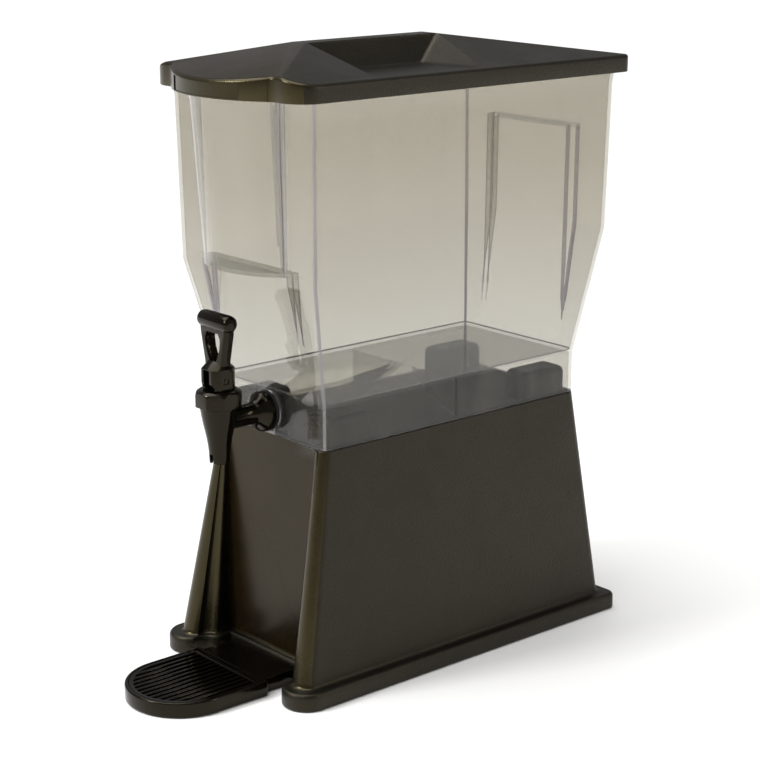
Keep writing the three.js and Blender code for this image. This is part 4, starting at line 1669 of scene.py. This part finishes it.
@dataclass
class DripTray:
    """Gloss tray with a round front, and the slatted grate that drops into it.

    Attributes:
        drawing: Drawing that its sizes are on.
        finishes: Materials of the dispenser.
        half: Half width, which is also the radius of the round front.
        round_y: Y of the round front's centre.
        shoulder_y: Y of the bowl's rear.
        neck_half: Half width of the neck behind the bowl.
        rear_y: Y of the neck's rear.
        base_z: Height of its lower face.
        rim_z: Height of its rim.
        wall: Thickness of its walls.
        floor_z: Height of the bowl's floor.
        tongue: Half width, rear Y, and lower and upper face, of the tongue.
        grate_z: Lower and upper face of the grate.
        grate_gap: Play round the grate.
        border: Width of the grate's border.
        rear_border: Width of its border behind.
        slats: Number of slats.
        slat_width: Width of a slat.
        slat_edge: Rounding of a slat.
        slat_bite: How far a slat runs into the border.
        slat_lower: How much thinner than the border a slat is.
    """

    drawing: Drawing
    finishes: Finishes
    half: float = 46.5
    round_y: float = -222.0
    shoulder_y: float = -172.5
    neck_half: float = 41.0
    rear_y: float = -137.5
    base_z: float = 0.5
    rim_z: float = 13.0
    wall: float = 3.0
    floor_z: float = 3.0
    tongue: tuple[float, float, Point2] = (30.0, -120.0, (3.5, 8.5))
    grate_z: Point2 = (8.2, 12.6)
    grate_gap: float = 0.4
    border: float = 3.4
    rear_border: float = 6.0
    slats: int = 12
    slat_width: float = 3.0
    slat_edge: float = 0.55
    slat_bite: float = 0.6
    slat_lower: float = 0.3

    def ring(self, z: float, inset: float, rear_y: float, radius: float = 2.0) -> Ring:
        """D-shaped outline at a height.

        Args:
            z: Height of the ring.
            inset: How far inwards it is moved.
            rear_y: Y of its rear before that.
            radius: Rounding of its rear corners.

        Returns:
            The ring.
        """
        half, rear = self.half - inset, rear_y - inset
        radius = max(radius - inset * 0.3, 0.4)
        rear_corner = arc((half - radius, rear - radius), radius, 0, 90, 5)
        front, side = arc((0, self.round_y), half, 270, 360, 36), (half, lerp(self.round_y, rear, 0.5))
        return mirrored([*front, side, *rear_corner, (0.0, rear)], z)

    def build(self) -> None:
        """Makes the tray and the grate."""
        for piece, body, node in (
            (self.make_tray(), "tray", "drip_tray"),
            (self.make_grate(), "grate", "drip_grate"),
        ):
            piece.data.materials.append(self.finishes.gloss)
            report(piece, body, Slot.GLOSS, node)

    def make_tray(self) -> bpy.types.Object:
        """Bowl, hollow neck and tongue as one body.

        Returns:
            The tray.
        """
        top, y, wall = self.rim_z, self.shoulder_y, self.wall
        outer = [(self.base_z, 1.2), (0.8, 0.6), (1.3, 0.15), (2.0, 0.0), (top - 1.4, 0.0), (top - 0.7, 0.15)]
        outer += [(top - 0.2, 0.55), (top, 1.1)]
        inner = [(top, wall - 0.6), (top - 0.2, wall - 0.1), (top - 0.8, wall), (self.grate_z[0] - 1, wall)]
        inner += [(self.floor_z + 1.2, wall + 0.4), (self.floor_z, wall + 1.8)]
        bowl = self.drawing.loft("tray_shell", [self.ring(z, inset, y) for z, inset in [*outer, *inner]])
        side, rear = self.neck_half, self.rear_y
        neck = self.drawing.block("neck", (-side, side), (y - 2, rear), (self.base_z, top - 0.4))
        round_edges(neck, 1.0, 3)
        half, reach, levels = self.tongue
        tongue = self.drawing.block("tongue", (-half, half), (rear - 1, reach), levels)
        round_edges(tongue, 0.8, 2)
        core = self.drawing.block("core", (wall - side, side - wall), (y, rear - wall), (-6, top - wall))
        combine(neck, Boolean.CUT, core)
        combine(bowl, Boolean.ADD, neck, tongue)
        shade(bowl, 35)
        return bowl

    def make_grate(self) -> bpy.types.Object:
        """Frame from rings, and slats from a node tree that trims each one to the round front.

        Returns:
            The grate.
        """
        clear = self.wall + self.grate_gap
        low, high = self.grate_z
        y = self.shoulder_y
        inner = clear + self.border
        rear = y - clear - self.rear_border + inner
        rings = [self.ring(low, inner, rear), self.ring(low, clear, y), self.ring(high - 0.5, clear, y)]
        rings += [self.ring(high - 0.1, clear + 0.15, y), self.ring(high, clear + 0.5, y)]
        inside = ((high, inner - 0.5), (high - 0.3, inner), (low, inner))
        rings += [self.ring(z, inset, rear) for z, inset in inside]
        made = self.drawing.loft("drip_grate_slatted", rings)
        slats = Slats(self.drawing, self).build()
        shape = bmesh.new()
        shape.from_mesh(made.data)
        caps = [f for f in shape.faces if len(f.verts) > 4]
        bmesh.ops.delete(shape, geom=caps, context="FACES_ONLY")
        bmesh.ops.remove_doubles(shape, verts=shape.verts, dist=WELD / 2)
        shape.from_mesh(slats.data)
        shape.to_mesh(made.data)
        shape.free()
        remove(slats)
        shade(made, 35)
        return made


@dataclass
class Slats:
    """Row of bars along Y, each as long as the round front allows.

    Attributes:
        drawing: Drawing that its sizes are on.
        tray: Tray that the bars are for.
    """

    drawing: Drawing
    tray: DripTray

    def tree(self) -> bpy.types.NodeTree:
        """Node tree that makes the bars.

        Returns:
            The tree, with the sizes as named inputs.
        """
        tree = bpy.data.node_groups.new("grate_slats", "GeometryNodeTree")
        tree.is_modifier = True
        kinds = {"Count": "Int", "Centre": "Vector", "Finish": "Material"}
        for name in ("Count", "Pitch", "Width", "Depth", "Radius", "Back", "Centre", "Finish"):
            socket = f"NodeSocket{kinds.get(name, 'Float')}"
            tree.interface.new_socket(name, in_out="INPUT", socket_type=socket)
        tree.interface.new_socket("Geometry", in_out="OUTPUT", socket_type="NodeSocketGeometry")
        known: dict[Any, Any] = {socket.name: socket for socket in add(tree, "NodeGroupInput").outputs}
        known["Index"] = add(tree, "GeometryNodeInputIndex").outputs[0]
        for name, operation, first, second in (
            ("last", "SUBTRACT", "Count", 1.0),
            ("middle", "DIVIDE", "last", 2.0),
            ("step", "SUBTRACT", "Index", "middle"),
            ("across", "MULTIPLY", "step", "Pitch"),
            ("across squared", "MULTIPLY", "across", "across"),
            ("radius squared", "MULTIPLY", "Radius", "Radius"),
            ("chord squared", "SUBTRACT", "radius squared", "across squared"),
            ("chord", "SQRT", "chord squared", 0.0),
            ("length", "ADD", "chord", "Back"),
            ("front end", "MULTIPLY", "chord", -1.0),
            ("both ends", "ADD", "front end", "Back"),
            ("centre", "DIVIDE", "both ends", 2.0),
        ):
            feeds = {0: known.get(first, first), 1: known.get(second, second)}
            known[name] = add(tree, "ShaderNodeMath", feeds, operation=operation)
        offset = add(tree, "ShaderNodeCombineXYZ", {"X": known["across"], "Y": known["centre"]})
        place = add(tree, "ShaderNodeVectorMath", {0: offset, 1: known["Centre"]}, operation="ADD")
        points = add(tree, "GeometryNodePoints", {"Count": known["Count"], "Position": place})
        rows = {"Vertices X": 2, "Vertices Y": 8, "Vertices Z": 2}
        bar = add(tree, "GeometryNodeMeshCube", {"Size": (1.0, 1.0, 1.0), **rows})
        feeds = {"X": known["Width"], "Y": known["length"], "Z": known["Depth"]}
        scale = add(tree, "ShaderNodeCombineXYZ", feeds)
        feeds = {"Points": points, "Instance": bar, "Scale": scale}
        bars = add(tree, "GeometryNodeInstanceOnPoints", feeds)
        solid = add(tree, "GeometryNodeRealizeInstances", {"Geometry": bars})
        dressed = add(tree, "GeometryNodeSetMaterial", {"Geometry": solid, "Material": known["Finish"]})
        add(tree, "NodeGroupOutput", {"Geometry": dressed})
        return tree

    def build(self) -> bpy.types.Object:
        """Makes the bars as a plain mesh with rounded edges.

        Returns:
            The object, which is still to be joined to its frame.
        """
        tray = self.tray
        clear = tray.wall + tray.grate_gap
        inner = tray.half - clear - tray.border
        pitch = (2 * inner + tray.slat_width) / (tray.slats + 1)
        low, high = tray.grate_z
        thin = tray.slat_lower
        back = tray.shoulder_y - clear - tray.rear_border
        values = {
            "Count": tray.slats,
            "Pitch": pitch * MM,
            "Width": tray.slat_width * MM,
            "Depth": (high - low - thin) * MM,
            "Radius": (inner + tray.slat_bite) * MM,
            "Back": (back - tray.round_y + tray.slat_bite) * MM,
            "Centre": self.drawing.to_row((0, tray.round_y, (low + high - thin / 3) / 2)),
            "Finish": tray.finishes.gloss,
        }
        made = put_in_scene("slats", bpy.data.meshes.new("slats"))
        tree = self.tree()
        step = made.modifiers.new("slats", "NODES")
        step.node_group = tree
        for item in tree.interface.items_tree:
            if item.in_out == "INPUT" and item.name in values:
                step[item.identifier] = values[item.name]
        apply_modifiers(made)
        round_edges(made, tray.slat_edge, 3)
        made.data.materials.clear()
        return made


# ---------------------------------------------------------------- faucet


@dataclass
class Faucet:
    """Pull-handle faucet: turned spout and shank, octagonal bonnet, and a handle that rocks on it.

    Attributes:
        drawing: Drawing that its sizes are on.
        finishes: Materials of the dispenser.
        axis_y: Y of the barrel's axis.
        shank_z: Height of the shank's axis.
        shank_r: Radius of the shank.
        shank_bore: Radius of the shank's bore.
        shank_end: Y of the shank's inner end.
        barrel: Radius and height pairs of the spout and the barrel.
        throat: The same of the bore through them.
        collar: Radius and Y pairs of the flange on the shank.
        notch: Half width and heights of the notch in the spout's front.
        root: How far along the shank, and round it, its rounded root lies.
        root_radius: Rounding of that root.
        refined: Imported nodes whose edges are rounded: new name, rounding and body of each.
    """

    drawing: Drawing
    finishes: Finishes
    axis_y: float = -181.5
    shank_z: float = 219.0
    shank_r: float = 8.7
    shank_bore: float = 4.5
    shank_end: float = -112.0
    barrel: tuple[Point2, ...] = (
        *((0, 185.3), (7.6, 185.3), (8.05, 185.6), (8.3, 186.2), (8.45, 190), (8.8, 196), (9.4, 201)),
        *((10.2, 205.5), (11.4, 211.3), (12.8, 217.5), (14.0, 224), (14.8, 229.2), (15.1, 230.6)),
        *((14.9, 231.2), (12.4, 231.2), (12.4, 238.5), (0, 238.5)),
    )
    throat: tuple[Point2, ...] = (
        *((0, 178), (5.6, 178), (5.6, 209), (8.2, 213.5), (10.4, 224), (10.4, 245), (0, 245)),
    )
    collar: tuple[Point2, ...] = (
        *((9.4, -148.6), (11, -146.8), (12.8, -145.5), (14.6, -144.2), (15.7, -142.9), (16.3, -141.4)),
        *((16.4, -140.4), (16.4, -137.4), (16.0, -137)),
    )
    notch: tuple[float, Point2] = (2.2, (178, 193))
    root: tuple[Point2, float] = ((4.0, 15.5), 9.5)
    root_radius: float = 1.2
    refined: tuple[tuple[str, str, float, str], ...] = (
        ("faucet_bonnet", "bonnet_octagonal", 0.9, "tank"),
        ("faucet_handle", "handle_rocking", 0.8, "handle"),
        ("shank_nut", "nut_hexagonal", 0.8, "tank"),
    )

    def spout(self) -> bpy.types.Object:
        """Barrel, spout and shank with their bores.

        Returns:
            The finished body.
        """
        start, end, radius = self.axis_y, self.shank_end, self.shank_r
        collar_y = (-150.2, self.collar[-1][1])
        shank = [(0, start), (radius, start), (radius, collar_y[0]), *self.collar, (radius, collar_y[1])]
        shank += [(radius, end + 0.8), (radius - 0.8, end), (0, end)]
        tap, across = (0, start, 0), (0, 0, self.shank_z)
        body = self.drawing.turned("faucet_spout", self.barrel, tap)
        combine(body, Boolean.ADD, self.drawing.turned("shank", shank, across, Axis.BACK))
        round_edges(body, self.root_radius, 3, 40, self.at_root)
        hole = [(0, start), (self.shank_bore, start), (self.shank_bore, end + 7), (0, end + 7)]
        half, levels = self.notch
        cuts = (
            self.drawing.turned("throat", self.throat, tap),
            self.drawing.turned("hole", hole, across, Axis.BACK),
            self.drawing.block("notch", (-half, half), (start - 10, start - 5), levels),
        )
        combine(body, Boolean.CUT, *cuts)
        shade(body, 38)
        return body

    def at_root(self, middle: Vector) -> bool:
        """True for an edge where the shank runs into the barrel.

        Args:
            middle: The edge's middle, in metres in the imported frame.

        Returns:
            Whether the edge is rounded.
        """
        (near, far), reach = self.root
        along = middle.y / MM - self.drawing.shift_y - self.axis_y
        return near < along < far and abs(middle.z / MM - self.shank_z) < reach and abs(middle.x) / MM < reach

    def build(self) -> None:
        """Makes the faucet's pieces and dresses the small ones inside it."""
        gloss = self.finishes.gloss
        body = self.spout()
        body.data.materials.append(gloss)
        report(body, "tank", Slot.GLOSS, "faucet_body")
        for node, name, width, owner in self.refined:
            piece = round_edges(copy_of(node, name), width, 3, 24)
            piece.data.materials.append(gloss)
            report(piece, owner, Slot.GLOSS, node)
        for finish, nodes in (
            (gloss, ("spring_washer", "handle_pin")),
            (self.finishes.steel, ("valve_stem", "closing_spring")),
            (self.finishes.silicone, ("seat_cup",)),
            (self.finishes.rubber, ("outer_washer", "inner_washer")),
        ):
            for node in nodes:
                dress_node(node, finish)


# ---------------------------------------------------------------- studio


@dataclass
class Softbox:
    """One soft lamp.

    Attributes:
        name: Name of the lamp.
        place: Position in metres.
        size: Width and height in metres.
        power: Power in watts.
        colour: Colour of its light.
    """

    name: str
    place: Point3
    size: Point2
    power: float
    colour: str = "#FFFFFF"


@dataclass
class Studio:
    """Pale floor, soft lamps and the camera.

    Attributes:
        target: Point in metres that the softboxes face.
        camera_place: Place of the camera in metres.
        forward: Direction that the camera looks in.
        right: Direction to its right.
        lens: Focal length in millimetres.
        sensor: Width of its sensor in millimetres.
        floor_half: Half width of the floor in metres.
        sky: Colour and strength of the sky.
        overhead: Strength, spread in degrees and direction of the wide light overhead.
        lamps: The softboxes.
    """

    target: Point3 = (0.0, 0.0, 0.25)
    camera_place: Point3 = (1.2030, -1.00825, 0.6506)
    forward: Point3 = (-0.7311, 0.6307, -0.2600)
    right: Point3 = (0.6532, 0.7572, 0.0)
    lens: float = 93.72
    sensor: float = 36.0
    floor_half: float = 20.0
    sky: tuple[str, float] = ("#FFFFFF", 0.3)
    overhead: tuple[float, float, Point3] = (3.0, 60.0, (-0.2, -0.25, 1.0))
    lamps: tuple[Softbox, ...] = (
        Softbox("key", (-0.6, -1.9, 1.5), (0.5, 0.5), 28),
        Softbox("side", (2.0, 0.9, 1.2), (0.3, 1.0), 12),
    )

    def build(self) -> None:
        """Makes the floor, the sky, the lamps and the camera."""
        self.lay_floor()
        world = bpy.data.worlds.new("studio")
        bpy.context.scene.world = world
        world.use_nodes = True
        sky = world.node_tree.nodes["Background"]
        sky.inputs["Color"].default_value = linear(self.sky[0])
        sky.inputs["Strength"].default_value = self.sky[1]
        for lamp in self.lamps:
            data = bpy.data.lights.new(lamp.name, "AREA")
            data.shape = "RECTANGLE"
            data.size, data.size_y = lamp.size
            data.energy, data.color = lamp.power, linear(lamp.colour)[:3]
            made = put_in_scene(lamp.name, data)
            made.location = lamp.place
            ahead = Vector(self.target) - Vector(lamp.place)
            made.rotation_euler = ahead.to_track_quat("-Z", "Y").to_euler()
        strength, spread_deg, towards = self.overhead
        data = bpy.data.lights.new("overhead", "SUN")
        data.energy, data.angle = strength, math.radians(spread_deg)
        made = put_in_scene("overhead", data)
        made.rotation_euler = Vector(towards).to_track_quat("Z", "Y").to_euler()
        self.place_camera()
        bpy.context.scene.view_settings.view_transform = "Standard"

    def lay_floor(self) -> None:
        """Large pale floor with a faint mottle."""
        mesh = bpy.data.meshes.new("floor")
        h = self.floor_half
        mesh.from_pydata([(-h, -h, 0), (h, -h, 0), (h, h, 0), (-h, h, 0)], [], [(0, 1, 2, 3)])
        floor = put_in_scene("floor", mesh)
        made, tree, place = start_material("studio_floor_matt_white")
        mottle = add(tree, "ShaderNodeTexNoise", Pattern(400).at(place))
        feeds = blend_of(mottle, ("#F4F3F1", "#F8F8F7"))
        colour = add(tree, "ShaderNodeMix", feeds, data_type="RGBA").outputs[2]
        shader = add(tree, "ShaderNodeBsdfPrincipled", {"Base Color": colour, "Roughness": 0.7})
        add(tree, "ShaderNodeOutputMaterial", {"Surface": shader})
        mesh.materials.append(made)

    def place_camera(self) -> None:
        """Camera at the viewing angle, with no shift and no depth of field."""
        data = bpy.data.cameras.new("camera")
        data.lens, data.sensor_width = self.lens, self.sensor
        camera = put_in_scene("camera", data)
        ahead, right = Vector(self.forward).normalized(), Vector(self.right).normalized()
        up = right.cross(ahead).normalized()
        right = ahead.cross(up)
        turn = Matrix((right, up, -ahead)).transposed().to_4x4()
        camera.matrix_world = Matrix.Translation(self.camera_place) @ turn
        bpy.context.scene.camera = camera


def main() -> None:
    """Builds every sub-assembly in order."""
    Studio().build()
    drawing = Drawing(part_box("base")[1].y / MM - STAND_REAR_Y)
    finishes = Finishes()
    for part in (Stand, Reservoir, Lid, DripTray, Faucet):
        LOG.info("building %s", part.__name__)
        part(drawing, finishes).build()


if __name__ == "__main__":
    main()
